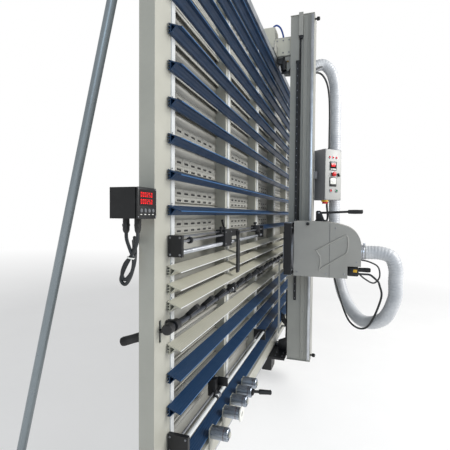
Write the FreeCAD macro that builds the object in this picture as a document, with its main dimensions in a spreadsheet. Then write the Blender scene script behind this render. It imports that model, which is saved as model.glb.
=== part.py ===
"""Vertical panel saw: a leaned slat frame, a saw beam that rolls along it, and a saw head on the beam.

Every length is in millimetres. The machine's own directions are used throughout:
  x  along the frame, from the left-hand end of the slats (x = 0) to the right,
  n  out of the frame towards the operator, from the plane on which the slats are screwed (n = 0),
  v  up along the frame, from the floor line under that plane (v = 0).
The frame leans back, so each leaned sub-part is drawn upright and its Placement turns it about x.
"""

import FreeCAD, Part
import math
import os
import re
import Sketcher
from FreeCAD import Placement, Rotation, Vector

os.makedirs("parts", exist_ok=True)
doc = FreeCAD.newDocument("panel_saw")

# ---------------------------------------------------------------- driving dimensions

SIZES = {
    # frame
    "lean_angle": 5,
    "bay_pitch": 685,
    "bay_count": 6,
    "strip_centre": 33.5,
    "strip_width": 28,
    "strip_thick": 4,
    "end_post_width": 150,
    "end_post_left": -102,
    "post_width": 90,
    "post_back": -66,
    "post_wall": 5,
    "frame_right": 4279,
    "post_top": 2625,
    "top_beam_top": 2675,
    "top_beam_front": 30,
    "bottom_beam_low": 268,
    "bottom_beam_top": 350,
    "bottom_beam_front": 60,
    "beam_wall": 4,
    "foot_height": 75,
    "foot_pad": 15,
    "foot_width": 100,
    "foot_back": 800,
    "foot_toe": 150,
    "anchor_radius": 7,
    "anchor_inset": 35,
    "strut_radius": 18,
    # slats
    "slat_left": -10,
    "slat_right": 4187,
    "slat_depth": 55,
    "slat_drop": 21,
    "slat_skin": 4,
    "slat_web": 11,
    "slat_web_height": 38,
    "short_slat_left": 1400,
    # stop rails
    "stop_rod_radius": 5,
    "ribbed_rod_radius": 9,
    "lower_rod_radius": 8,
    "rail_bracket_width": 18,
    "upper_rail_right": 1366,
    "lower_rail_right": 1345,
    "upper_rod_height": 1276,
    "upper_rod_front": 46,
    "upper_back_rod_height": 1291,
    "upper_back_rod_front": 24,
    "ribbed_rod_height": 1233,
    "ribbed_rod_front": 40,
    "lower_rod_height": 523,
    "lower_rod_front": 40,
    "white_rod_height": 526,
    "white_rod_front": 70,
    # middle support
    "shaft_front": 30,
    "shaft_height": 965,
    "port_radius": 40.5,
    "shaft_radius": 12.5,
    "shaft_clearance": 0.05,
    "finger_first": 110,
    "finger_pitch": 170,
    "finger_count": 24,
    "finger_width": 26,
    "lever_x": -59,
    # rollers
    "roller_radius": 29,
    "roller_axle_radius": 8,
    "roller_height": 390,
    "roller_start": 68,
    "roller_end": 148,
    # saw beam
    "column_left": 1780,
    "column_width": 180,
    "column_back": 176,
    "column_front": 363,
    "column_low": 188,
    "column_top": 2981,
    "column_wall": 6,
    "wheel_radius": 22,
    "wheel_bore_radius": 8,
    # saw head
    "head_x": 1500,
    "head_v": 1120,
    "box_left": 1325,
    "box_right": 1765,
    "box_low": 958,
    "box_top": 1322,
    "box_back": 215,
    "box_front": 266,
    "turn_bore_radius": 150,
    "turn_clearance": 0.05,
    "ring_wall": 7,
    "cover_left": 1390,
    "cover_right": 1610,
    "cover_wall": 3,
    "cover_seam": 522,
    "blade_radius": 125,
    "blade_thick": 3,
    "blade_x": 1472,
    "spindle_front": 350,
    "motor_front": 600,
    "motor_radius": 75,
    "spindle_radius": 12,
    "spindle_pulley_radius": 28,
    "motor_pulley_radius": 46,
    "pulley_left": 1568,
    "pulley_width": 20,
    "belt_thick": 3,
    "hose_radius": 46,
    "hose_wall": 2,
    "outlet_radius": 45,
    # control box
    "panel_width": 174,
    "panel_depth": 128,
    "panel_low": 1503,
    "panel_high": 1920,
    "panel_corner_x": 1850,
    "panel_corner_n": 456,
    "panel_turn": 45,
}

sheet = doc.addObject("Spreadsheet::Sheet", "dims")
for row, (alias, value) in enumerate(SIZES.items(), start=1):
    sheet.set(f"A{row}", alias)
    sheet.set(f"B{row}", str(value))
    sheet.setAlias(f"B{row}", alias)
doc.recompute()

X_AXIS = Vector(1, 0, 0)
LEAN = Rotation(X_AXIS, -SIZES["lean_angle"])


def size(alias):
    """The value of one cell of the sheet, for the pieces whose shape is set in code."""
    return float(sheet.get(alias))


def in_sheet(text):
    """Put the sheet's name before each alias in an expression."""
    return re.sub(r"[a-z_]+", lambda found: f"dims.{found[0]}" if found[0] in SIZES else found[0], str(text))


def bind(item, field, text):
    item.setExpression(field, in_sheet(text))


# ---------------------------------------------------------------- building blocks

SUBPARTS = []


def box(name, x, n, v):
    """A block between two values along each of x, n and v."""
    item = doc.addObject("Part::Box", name)
    bind(item, "Length", f"({x[1]}) - ({x[0]})")
    bind(item, "Width", f"({n[1]}) - ({n[0]})")
    bind(item, "Height", f"({v[1]}) - ({v[0]})")
    bind(item, "Placement.Base.x", x[0])
    bind(item, "Placement.Base.y", f"-({n[1]})")
    bind(item, "Placement.Base.z", v[0])
    return item


TURNS = {"x": Rotation(Vector(0, 1, 0), 90), "n": Rotation(X_AXIS, 90), "v": Rotation()}


def rod(name, along, radius, x, n, v):
    """A cylinder along x, n or v. The value for its own direction is a (start, end) pair."""
    start = {"x": x, "n": n, "v": v}[along]
    centre = {"x": x, "n": n, "v": v, along: start[0]}
    item = doc.addObject("Part::Cylinder", name)
    item.Placement = Placement(Vector(), TURNS[along])
    bind(item, "Radius", radius)
    bind(item, "Height", f"({start[1]}) - ({start[0]})")
    bind(item, "Placement.Base.x", centre["x"])
    bind(item, "Placement.Base.y", f"-({centre['n']})")
    bind(item, "Placement.Base.z", centre["v"])
    return item


def fuse(name, items):
    item = doc.addObject("Part::MultiFuse", name)
    item.Shapes = items
    item.Refine = True
    return item


def cut(name, base, tools):
    item = doc.addObject("Part::Cut", name)
    item.Base = base
    item.Tool = tools[0] if len(tools) == 1 else fuse(f"{name}_tools", tools)
    return item


def hollow(name, x, n, v, wall, open_along):
    """A square tube: a block with a bore left by its walls, open at both ends along one direction."""
    inner = {}
    for axis, (low, high) in {"x": x, "n": n, "v": v}.items():
        grow = "-1" if axis == open_along else f"({wall})"
        inner[axis] = (f"({low}) + {grow}", f"({high}) - {grow}")
    outside = box(f"{name}_outside", x, n, v)
    return cut(name, outside, [box(f"{name}_inside", inner["x"], inner["n"], inner["v"])])


def outline_body(name, plane, points, holes, length, start):
    """A PartDesign body: a closed outline in (a, b), padded square to its plane, with holes pocketed.

    On plane "nv" a is n and b is v and the pad runs along x. On plane "xn" a is x, b is n and the pad
    runs along v. Every corner is held by two named constraints bound to the sheet.
    """
    body = doc.addObject("PartDesign::Body", name)
    role = {"nv": "YZ_Plane", "xn": "XY_Plane"}[plane]
    flip = {"nv": (-1, 1), "xn": (1, -1)}[plane]

    def draw(label, corners):
        sketch = body.newObject("Sketcher::SketchObject", f"{name}_{label}")
        face = [item for item in body.Origin.OriginFeatures if item.Role == role][0]
        sketch.AttachmentSupport = [(face, "")]
        sketch.MapMode = "FlatFace"
        bind(sketch, "AttachmentOffset.Base.z", start)
        count = len(corners)
        values = [(flip[0] * evaluate(a), flip[1] * evaluate(b)) for a, b in corners]
        for index in range(count):
            here = Vector(*values[index], 0)
            there = Vector(*values[(index + 1) % count], 0)
            sketch.addGeometry(Part.LineSegment(here, there), False)
        for index in range(count):
            sketch.addConstraint(Sketcher.Constraint("Coincident", index, 2, (index + 1) % count, 1))
        for index, (a, b) in enumerate(corners):
            for kind, text, sign, value in (
                ("DistanceX", a, flip[0], values[index][0]),
                ("DistanceY", b, flip[1], values[index][1]),
            ):
                number = sketch.addConstraint(Sketcher.Constraint(kind, -1, 1, index, 1, value))
                sketch.renameConstraint(number, f"{kind[-1].lower()}_{index}")
                bind(sketch, f"Constraints.{kind[-1].lower()}_{index}", f"{sign} * ({text})")
        return sketch

    pad = body.newObject("PartDesign::Pad", f"{name}_pad")
    pad.Profile = draw("outline", points)
    bind(pad, "Length", length)
    doc.recompute()
    for index, corners in enumerate(holes):
        pocket = body.newObject("PartDesign::Pocket", f"{name}_pocket_{index}")
        pocket.Profile = draw(f"hole_{index}", corners)
        pocket.Type = "ThroughAll"
        pocket.Reversed = True
        before = body.Shape.Volume
        doc.recompute()
        if body.Shape.Volume >= before:
            pocket.Reversed = False
            doc.recompute()
    return body


def evaluate(text):
    """The number that an expression in sheet names stands for."""
    names = {alias: size(alias) for alias in SIZES if alias in str(text)}
    value = str(text)
    for alias in sorted(names, key=len, reverse=True):
        value = re.sub(rf"\b{alias}\b", repr(names[alias]), value)
    return float(FreeCAD.Units.Quantity(value).Value)


def copies(name, source, places):
    """A group of the same solid moved to each (dx, dn, dv)."""
    shape = source.Shape
    moved = [shape.translated(Vector(dx, -dn, dv)) for dx, dn, dv in places]
    item = doc.addObject("Part::Feature", name)
    item.Shape = Part.makeCompound(moved)
    return item


def solid(name, shape):
    item = doc.addObject("Part::Feature", name)
    item.Shape = shape
    return item


def subpart(name, items, leaned=True):
    """Gather the finished pieces of one sub-part, name it, and lean it with the frame."""
    item = doc.addObject("Part::Compound", f"{name}_group")
    item.Links = items
    item.Label = name
    item.Placement = Placement(Vector(), LEAN if leaned else Rotation())
    SUBPARTS.append(item)
    return item


def at(x, n, v):
    """A point of the upright machine, for the pieces whose shape is set in code."""
    return Vector(x, -n, v)


def swept(points, radius, wall=0.0):
    """A round bar, or a tube when it has a wall, along a smooth curve through the points."""
    curve = Part.BSplineCurve()
    curve.interpolate(points)
    path = Part.Wire([curve.toShape()])
    facing = curve.tangent(curve.FirstParameter)[0]
    outer = Part.Wire([Part.makeCircle(radius, points[0], facing)])
    bar = path.makePipeShell([outer], True, True)
    if not wall:
        return bar
    inner = Part.Wire([Part.makeCircle(radius - wall, points[0], facing)])
    return bar.cut(path.makePipeShell([inner], True, True)).Solids[0]


# ---------------------------------------------------------------- frame


def under_feet(name):
    """The space below the tops of the feet, turned against the lean, which trims what stands on them."""
    deep = 300
    level = LEAN.inverted()
    item = doc.addObject("Part::Box", name)
    item.Length, item.Width, item.Height = 5000, 2000, deep
    item.Placement = Placement(level.multVec(Vector(-400, -1000, size("foot_height") - deep)), level)
    return item


def post_centre(bay):
    return f"strip_centre + {bay} * bay_pitch"


def end_posts():
    depth = ("post_back", "-strip_thick")
    height = ("0", "post_top")
    left_span = ("end_post_left", "end_post_left + end_post_width")
    right_span = ("frame_right - end_post_width", "frame_right")
    left = hollow("left_post", left_span, depth, height, "post_wall", "v")
    right = hollow("right_post", right_span, depth, height, "post_wall", "v")
    slot_x = ("lever_x - 8", "lever_x + 8")
    front_slot = box("front_slot", slot_x, ("-strip_thick - post_wall - 1", "0"), ("909", "992"))
    back_slot = box("back_slot", slot_x, ("post_back - 1", "post_back + post_wall + 1"), ("850", "1020"))
    left = cut("left_post_slotted", left, [front_slot, back_slot, under_feet("left_trim")])
    right = cut("right_post_trimmed", right, [under_feet("right_trim")])
    subpart("end_posts", [left, right])


def inner_posts():
    pieces = []
    depth = ("post_back", "-strip_thick")
    for bay in range(1, int(SIZES["bay_count"])):
        across = (f"{post_centre(bay)} - post_width / 2", f"{post_centre(bay)} + post_width / 2")
        pieces.append(hollow(f"post_{bay}", across, depth, ("bottom_beam_top", "post_top"), "post_wall", "v"))
    middle = post_centre("bay_count / 2")
    leg_span = (f"{middle} - 30", f"{middle} + 30")
    leg = box("middle_leg_blank", leg_span, ("post_back", "-28"), ("0", "bottom_beam_low"))
    pieces.append(cut("middle_leg", leg, [under_feet("middle_trim")]))
    subpart("inner_posts", pieces)


def post_strips():
    pieces = []
    for bay in range(int(SIZES["bay_count"]) + 1):
        across = (f"{post_centre(bay)} - strip_width / 2", f"{post_centre(bay)} + strip_width / 2")
        pieces.append(box(f"strip_{bay}", across, ("-strip_thick", "0"), ("bottom_beam_top", "post_top")))
    subpart("post_strips", pieces)


def beams():
    whole = ("end_post_left", "frame_right")
    between = ("end_post_left + end_post_width", "frame_right - end_post_width")
    top = hollow("top_tube", whole, ("post_back", "top_beam_front"), ("post_top", "top_beam_top"), "beam_wall", "x")
    bottom_v = ("bottom_beam_low", "bottom_beam_top")
    bottom = hollow("bottom_tube", between, ("post_back", "bottom_beam_front"), bottom_v, "beam_wall", "x")
    subpart("cross_beams", [top, bottom])
    upper_v = ("post_top + 5", "top_beam_top + 1")
    upper = hollow("upper_rail", whole, ("top_beam_front", "top_beam_front + 30"), upper_v, "beam_wall", "x")
    lower = box("lower_rail", between, ("20", "50"), ("bottom_beam_low - 30", "bottom_beam_low"))
    subpart("beam_rails", [upper, lower])


LIP_PITCH = 134
FIRST_BLUE_LIP = 1392
UPPER_LIPS = [FIRST_BLUE_LIP + LIP_PITCH * row for row in range(10)]
LOWER_LIPS = [756, 629, 375]
SHORT_LIPS = [1280, 502]
GREY_LIPS = [1164, 1097, 1030, 868]


def slat_body(name, length, start):
    """One extruded slat, its top back corner at n = v = 0: a sloped shelf, a hollow wedge and a grooved web."""
    outline = [("0", "0"), ("slat_depth", "-slat_drop"), ("slat_depth", "-slat_drop - slat_skin"), ("34", "-17")]
    outline += [("13", "-slat_web_height"), ("0", "-slat_web_height")]
    for groove in (35, 24, 13):
        deep = "slat_web - 3"
        outline += [("0", f"-{groove}"), (deep, f"-{groove}"), (deep, f"8 - {groove}"), ("0", f"8 - {groove}")]
    wedge = [("slat_web", "-9"), ("29.5", "-16.3"), ("13", "-33.5"), ("slat_web", "-33.5")]
    return outline_body(name, "nv", outline, [wedge], length, start)


def slats():
    long_slat = slat_body("long_slat", "slat_right - slat_left", "slat_left")
    short_slat = slat_body("short_slat", "slat_right - short_slat_left", "short_slat_left")
    drop = size("slat_drop")
    blue = copies("long_blue", long_slat, [(0, 0, lip + drop) for lip in UPPER_LIPS + LOWER_LIPS])
    short = copies("short_blue", short_slat, [(0, 0, lip + drop) for lip in SHORT_LIPS])
    subpart("blue_slats", [blue, short])
    subpart("grey_slats", [copies("long_grey", long_slat, [(0, 0, lip + drop) for lip in GREY_LIPS])])


def back_panels():
    """Folded sheet pans between the posts, one row behind each gap between slats."""
    section = [("-62", "0"), ("-60", "0"), ("-60", "120"), ("-44", "120"), ("-44", "122"), ("-62", "122")]
    first_left = "end_post_left + end_post_width"
    bays = {
        "first_pan": (first_left, f"{post_centre(1)} - post_width / 2"),
        "inner_pan": (f"{post_centre(1)} + post_width / 2", f"{post_centre(2)} - post_width / 2"),
        "last_pan": (f"{post_centre(5)} + post_width / 2", "frame_right - end_post_width"),
    }
    heights = [FIRST_BLUE_LIP - 96 + LIP_PITCH * row for row in range(-7, 10)]
    groups = []
    for name, (left, right) in bays.items():
        pan = outline_body(name, "nv", section, [], f"({right}) - ({left})", left)
        repeats = range(4) if name == "inner_pan" else range(1)
        places = [(bay * size("bay_pitch"), 0, v) for bay in repeats for v in heights]
        groups.append(copies(f"{name}s", pan, places))
    subpart("back_panels", groups)


def floor_feet():
    """Three foot bars along the floor on steel plates. The two end bars have an anchor hole at each end."""
    pieces = []
    bars = {"left": "end_post_left + foot_width / 2", "right": "frame_right - foot_width / 2"}
    toe_edge = "foot_toe - 60"
    for side, centre in {**bars, "middle": post_centre("bay_count / 2")}.items():
        across = (f"{centre} - foot_width / 2", f"{centre} + foot_width / 2")
        wide = (f"{centre} - 70", f"{centre} + 70")
        front = "-20" if side == "middle" else toe_edge
        pieces.append(box(f"{side}_bar", across, ("60 - foot_back", front), ("foot_pad", "foot_height")))
        toe = ("-90", "-20") if side == "middle" else ("foot_toe - 90", "foot_toe")
        heel = ("-foot_back", "90 - foot_back")
        if side != "middle":
            pieces.append(box(f"{side}_post_plate", wide, ("-100", "40"), ("0", "foot_pad")))
        for end, span, hole in (("toe", toe, "foot_toe - anchor_inset"), ("heel", heel, "anchor_inset - foot_back")):
            plate = box(f"{side}_{end}_plate", wide, span, ("0", "foot_pad"))
            if side != "middle":
                drill = rod(f"{side}_{end}_drill", "v", "anchor_radius", centre, hole, ("-1", "foot_pad + 1"))
                plate = cut(f"{side}_{end}", plate, [drill])
            pieces.append(plate)
    subpart("floor_feet", pieces, leaned=False)


def rear_struts():
    """Round tubes from the backs of the frame's top down to the feet, cut off flush at both ends."""
    foot = Vector(0, 712, size("foot_height"))
    head = Vector(0, 303, 2588)
    along = (head - foot).normalize()
    start = foot - along * 60
    tall = (head - foot).Length + 200
    radius = size("strut_radius")
    below = Part.makeBox(400, 2000, 300, Vector(-200, -500, size("foot_height") - 300))
    ahead = Part.makeBox(400, 400, 4000, Vector(-200, -size("post_back") - 400, 0))
    ahead.Placement = Placement(Vector(), LEAN).multiply(ahead.Placement)
    tube = Part.makeCylinder(radius, tall, start, along).cut(Part.makeCylinder(radius - 3, tall, start, along))
    tube = tube.cut(below).cut(ahead)
    centres = [size("end_post_left") + radius, evaluate(post_centre(3)), size("frame_right") - radius]
    tubes = [piece.translated(Vector(x, 0, 0)) for x in centres for piece in [max(tube.Solids, key=volume)]]
    subpart("rear_struts", [solid("strut_tubes", Part.makeCompound(tubes))], leaned=False)


def volume(shape):
    return shape.Volume


# ---------------------------------------------------------------- rollers

ROLLER_CENTRES = [300, 485, 612, 718, 828]


def rollers():
    axles = []
    height = "roller_height"
    for number, centre in enumerate(ROLLER_CENTRES, start=1):
        across = (f"{centre} - 22", f"{centre} + 22")
        front = "bottom_beam_front"
        upright = ("roller_height - 90", "roller_height + 22")
        bracket = box(f"bracket_{number}", across, (front, f"{front} + 6"), upright)
        axle = rod(f"axle_{number}", "n", "roller_axle_radius", centre, (f"{front} + 1", "roller_end + 2"), height)
        cap = rod(f"cap_{number}", "n", "13", centre, ("roller_end + 2", "roller_end + 6"), height)
        axles.append(fuse(f"axle_set_{number}", [bracket, axle, cap]))
        shell = rod(f"shell_{number}", "n", "roller_radius", centre, ("roller_start", "roller_end"), height)
        bore = rod(f"bore_{number}", "n", "roller_axle_radius + 0.05", centre, ("0", "200"), height)
        subpart(f"support_roller_{number}", [cut(f"roller_{number}", shell, [bore])])
    subpart("roller_axles", axles)


# ---------------------------------------------------------------- stop rails


def rod_set():
    """The stop rods: centre, radius and right-hand end of each."""
    return {
        "front_rod": ("upper_rod_front", "upper_rod_height", "stop_rod_radius", "upper_rail_right"),
        "back_rod": ("upper_back_rod_front", "upper_back_rod_height", "stop_rod_radius", "upper_rail_right"),
        "ribbed_rod": ("ribbed_rod_front", "ribbed_rod_height", "ribbed_rod_radius", "upper_rail_right"),
        "lower_rod": ("lower_rod_front", "lower_rod_height", "stop_rod_radius", "lower_rail_right"),
        "white_rod": ("white_rod_front", "white_rod_height", "lower_rod_radius", "lower_rail_right"),
    }


def stop_rails():
    rods = []
    for name, (front, height, radius, right) in rod_set().items():
        rods.append(rod(name, "x", radius, ("12", right), front, height))
    subpart("stop_rods", rods)
    brackets = []
    ends = {"upper": ("upper_rail_right", "0", "56", "1218", "1300")}
    ends["lower"] = ("lower_rail_right", "0", "84", "470", "542")
    for level, (right, back, front, low, high) in ends.items():
        brackets.append(box(f"{level}_left", ("12 - rail_bracket_width", "12"), (back, front), (low, high)))
        brackets.append(box(f"{level}_right", (right, f"{right} + rail_bracket_width"), (back, front), (low, high)))
    subpart("stop_rail_brackets", brackets)


def upper_stop():
    clearance = 0.05
    bores = []
    for name in ("front_rod", "back_rod", "ribbed_rod"):
        front, height, radius, right = rod_set()[name]
        bores.append(rod(f"{name}_bore", "x", f"{radius} + {clearance}", ("400", "800"), front, height))
    block = box("clamp_block", ("490", "600"), ("10", "60"), ("1218", "1302"))
    arm = box("flag_arm", ("600", "735"), ("10", "56"), ("1264", "1300"))
    bores.append(rod("stud_bore", "v", "4.05", "545", "35", ("1288", "1310")))
    carriage = cut("stop_carriage", fuse("stop_blocks", [block, arm]), bores)
    pin = rod("flag_pin", "n", "6", "710", ("56", "65"), "1276")
    pin_head = rod("flag_pin_head", "n", "10", "710", ("65", "69"), "1276")
    subpart("upper_stop_carriage", [fuse("carriage_and_pin", [carriage, pin, pin_head])])
    bar = box("flag_bar", ("690", "730"), ("56.5", "64.5"), ("1058", "1292"))
    hole = rod("flag_hole", "n", "6.05", "710", ("50", "70"), "1276")
    subpart("upper_stop_flag", [cut("flag", bar, [hole])])
    boss = rod("lever_boss", "v", "9", "545", "35", ("1302.1", "1314"))
    stud = rod("lever_stud", "v", "4", "545", "35", ("1289", "1303"))
    handle = solid("lever_handle", Part.makeCylinder(6, 52, at(545, 35, 1309), Vector(-30, 0, 38)))
    subpart("upper_stop_lever", [fuse("clamp_lever", [boss, stud, handle])])


def lower_stop():
    block = box("lower_block", ("360", "470"), ("10", "58"), ("505", "590"))
    tongue = box("lower_tongue", ("455", "470"), ("58", "105"), ("540", "590"))
    bore = rod("lower_bore", "x", "stop_rod_radius + 0.05", ("300", "500"), "lower_rod_front", "lower_rod_height")
    subpart("lower_stop_carriage", [cut("lower_carriage", fuse("lower_blocks", [block, tongue]), [bore])])


# ---------------------------------------------------------------- middle support


def middle_support():
    front, height = "shaft_front", "shaft_height"
    shaft = rod("shaft_bar", "x", "shaft_radius", ("lever_x - 18", "slat_right - 20"), front, height)
    subpart("support_shaft", [shaft])
    bearings = []
    for bay in range(int(SIZES["bay_count"]) + 1):
        centre = post_centre(bay)
        bore = rod(f"bearing_bore_{bay}", "x", "shaft_radius + shaft_clearance", ("-200", "4400"), front, height)
        if bay == 0:
            hub = rod("hub", "x", "27", ("-24", "8"), front, height)
            base = box("hub_base", ("-24", "8"), ("-strip_thick", front), (f"{height} - 18", f"{height} + 18"))
            bearings.append(cut("hub_bearing", fuse("hub_body", [hub, base]), [bore]))
            continue
        block = box(f"bearing_{bay}", (f"{centre} - 12", f"{centre} + 12"), ("0", "50"), ("940", "988"))
        bearings.append(cut(f"bearing_bored_{bay}", block, [bore]))
    subpart("shaft_bearings", bearings)
    tip = [("16", "965"), ("32", "950"), ("80", "1000"), ("79", "1008"), ("70", "1017"), ("63", "1016")]
    blade = outline_body("finger_blade", "nv", tip, [], "finger_width", "finger_first - finger_width / 2")
    span = ("finger_first - finger_width / 2", "finger_first + finger_width / 2")
    collar = rod("finger_collar", "x", "16", span, front, height)
    bore = rod("finger_bore", "x", "shaft_radius", ("0", "200"), front, height)
    finger = cut("finger", fuse("finger_blank", [blade, collar]), [bore])
    doc.recompute()
    places = [(size("finger_pitch") * number, 0, 0) for number in range(int(size("finger_count")))]
    subpart("support_fingers", [copies("fingers", finger, places)])
    axis = at(size("lever_x"), size(front), size(height))
    slope = math.radians(20)
    outward = Vector(0, math.cos(slope), -math.sin(slope))
    arm = Part.makeCylinder(7, 150, axis, outward)
    grip = Part.makeCylinder(17, 80, axis + outward * 140, outward)
    sleeve = Part.makeCylinder(20, 32, axis - Vector(16, 0, 0), X_AXIS)
    hole = Part.makeCylinder(size("shaft_radius"), 60, axis - Vector(30, 0, 0), X_AXIS)
    lever = sleeve.fuse([arm, grip]).removeSplitter().cut(hole)
    subpart("support_lever", [solid("lever_shape", lever)])


# ---------------------------------------------------------------- length readout


def readout():
    case = box("case", ("-254", "-132"), ("-78", "14"), ("1364", "1463"))
    bracket = box("case_bracket", ("-132", "end_post_left"), ("-24", "-strip_thick"), ("1372", "1454"))
    glands = [rod(f"gland_{n}", "v", "11", "-193", str(n), ("1332", "1364")) for n in (-58, -14)]
    bezel = box("bezel", ("-246", "-140"), ("14", "20"), ("1368", "1459"))
    subpart("readout_case", [fuse("readout", [case, bracket, bezel, *glands])])


# ---------------------------------------------------------------- saw beam


def saw_beam():
    left, back, front = "column_left", "column_back", "column_front"
    right = "column_left + column_width"
    outline = [(left, back), (left, f"{front} - 27"), (f"{left} - 8", f"{front} - 27"), (f"{left} - 8", front)]
    outline += [(right, front), (right, back)]
    near, far = f"{left} + column_wall", f"{right} - column_wall"
    inside = [(near, f"{back} + column_wall"), (near, f"{front} - column_wall")]
    inside += [(far, f"{front} - column_wall"), (far, f"{back} + column_wall")]
    tube = outline_body("column", "xn", outline, [inside], "column_top - column_low", "column_low")
    housing = box("belt_housing", (f"{left} - 22", left), ("243", "277"), ("2812", "2996"))
    scale = [box("scale_bar", ("1660", "1672"), ("120", "132"), ("425", "1004"))]
    for v in (432, 980):
        scale.append(box(f"scale_arm_{v}", ("1672", "1842"), ("120", "132"), (str(v), str(v + 12))))
        scale.append(box(f"scale_block_{v}", ("1830", "1842"), ("132", back), (str(v), str(v + 12))))
    subpart("beam_column", [tube, housing, fuse("scale", scale)])
    subpart("column_rail", [box("rail_strip", (f"{left} - 15", left), ("226", "246"), ("682", "2607"))])
    strap = box("belt_strap", (f"{left} - 12", f"{left} - 10"), ("250", "263"), ("1330", "2812"))
    subpart("counter_belt", [strap])


def top_carriage():
    housing = box("trolley_housing", ("1815", "1955"), ("-60", "40"), ("2690", "2935"))
    arm = box("trolley_arm", ("1815", "1945"), ("40", "column_back"), ("2690", "2842"))
    plate = box("wheel_plate", ("1670", "2070"), ("60", "66"), ("2684", "2760"))
    height = "top_beam_top + 1.05 + wheel_radius"
    pins = [rod(f"top_pin_{x}", "n", "wheel_bore_radius", str(x), ("31", "61"), height) for x in (1700, 2040)]
    brake = [("68", "2684"), ("176", "2684"), ("176", "2605"), ("150", "2560"), ("108", "2564"), ("72", "2640")]
    brake = outline_body("brake", "nv", brake, [], "110", "1820")
    subpart("top_carriage", [fuse("trolley", [housing, arm, plate, *pins]), brake])
    for side, x in (("left", 1700), ("right", 2040)):
        disc = rod(f"{side}_disc", "n", "wheel_radius", str(x), ("33", "55"), height)
        bore = rod(f"{side}_bore", "n", "wheel_bore_radius + 0.05", str(x), ("20", "70"), height)
        subpart(f"top_wheel_{side}", [cut(f"{side}_wheel", disc, [bore])])


def bottom_carriage():
    plate = box("guide_plate", ("1650", "2040"), ("0", "column_back"), ("215", "233"))
    housing = box("guide_housing", ("1720", "1860"), ("-18", "58"), ("90", "215"))
    lower_web = [("176", "233"), ("98", "233"), ("98", "320"), ("156", "345"), ("176", "345")]
    middle_web = [("176", "345"), ("156", "345"), ("158", "440"), ("176", "440")]
    upper_web = [("176", "440"), ("158", "440"), ("118", "490"), ("118", "561"), ("176", "480")]
    webs = {"lower_web": lower_web, "middle_web": middle_web, "upper_web": upper_web}
    plates = [outline_body(name, "nv", corners, [], "12", "1815") for name, corners in webs.items()]
    bar = box("guide_bar", ("1815", "1830"), ("160", "column_back"), ("480", "748"))
    pin = rod("guide_pin", "v", "wheel_bore_radius", "1930", "72.05", ("232", "263"))
    subpart("bottom_carriage", [fuse("guide", [plate, housing, pin]), *plates, bar])
    disc = rod("guide_disc", "v", "wheel_radius", "1930", "72.05", ("239", "262"))
    bore = rod("guide_bore", "v", "wheel_bore_radius + 0.05", "1930", "72.05", ("220", "280"))
    subpart("bottom_wheel", [cut("guide_wheel", disc, [bore])])


# ---------------------------------------------------------------- control box


def panel_point(along, out, v):
    """A point on the control box: along its front from the left edge, out of the front, and up."""
    turn = math.radians(size("panel_turn"))
    x = size("panel_corner_x") + along * math.cos(turn) - out * math.sin(turn)
    n = size("panel_corner_n") + along * math.sin(turn) + out * math.cos(turn)
    return at(x, n, v)


def panel_rod(radius, along, out, v):
    """A cylinder square to the control box's front, between two distances out of it."""
    start = panel_point(along, out[0], v)
    end = panel_point(along, out[1], v)
    return Part.makeCylinder(radius, (end - start).Length, start, end - start)


CONTROLS = {"estop_button": (82, 1716, 11), "selector_switch": (138, 1712, 9), "stop_button": (60, 1581, 10)}
CONTROLS["start_button"] = (121, 1581, 10)


def control_box():
    width, depth = size("panel_width"), size("panel_depth")
    low, high, wall = size("panel_low"), size("panel_high"), 3
    turn = Rotation(Vector(0, 0, 1), -size("panel_turn"))
    outside = Part.makeBox(width, depth, high - low)
    inside = Part.makeBox(width - 2 * wall, depth - 2 * wall, high - low - 2 * wall, Vector(wall, wall, wall))
    case = outside.cut(inside)
    case.Placement = Placement(panel_point(0, 0, low), turn)
    holes = [panel_rod(radius + 0.05, along, (-20, 20), v) for along, v, radius in CONTROLS.values()]
    switch_hole = Part.makeCylinder(8.05, 40, panel_point(30, -30, low - 20))
    case = case.cut(holes + [switch_hole])
    arm = Part.makeBox(70, 30, 60, at(1870, 393, 1680))
    place = Placement(panel_point(0, 0, low), turn)
    arm = arm.cut(Part.makeBox(width, depth, high - low).transformed(place.Matrix))
    subpart("control_box", [solid("control_case", case), solid("control_arm", arm.Solids[0])])
    along, v, radius = CONTROLS["estop_button"]
    stem = panel_rod(radius, along, (-14, 18), v)
    subpart("estop_button", [solid("estop", stem.fuse(panel_rod(20, along, (16, 28), v)).removeSplitter())])
    for name in ("start_button", "stop_button"):
        along, v, radius = CONTROLS[name]
        subpart(name, [solid(f"{name}_cap", panel_rod(radius, along, (-12, 9), v))])
    along, v, radius = CONTROLS["selector_switch"]
    stem = panel_rod(radius, along, (-12, 8), v)
    wing = Part.makeBox(30, 14, 8, Vector(-15, -14, -4))
    wing.Placement = Placement(panel_point(along, 6, v), turn.multiply(Rotation(Vector(0, 1, 0), 60)))
    subpart("selector_switch", [solid("selector", stem.fuse(wing).removeSplitter())])
    stem = Part.makeCylinder(8, 20, panel_point(30, -30, low - 12))
    knob = Part.makeCylinder(21, 24, panel_point(30, -30, low - 30))
    subpart("main_switch", [solid("switch", stem.fuse(knob).removeSplitter())])


# ---------------------------------------------------------------- saw head


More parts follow.
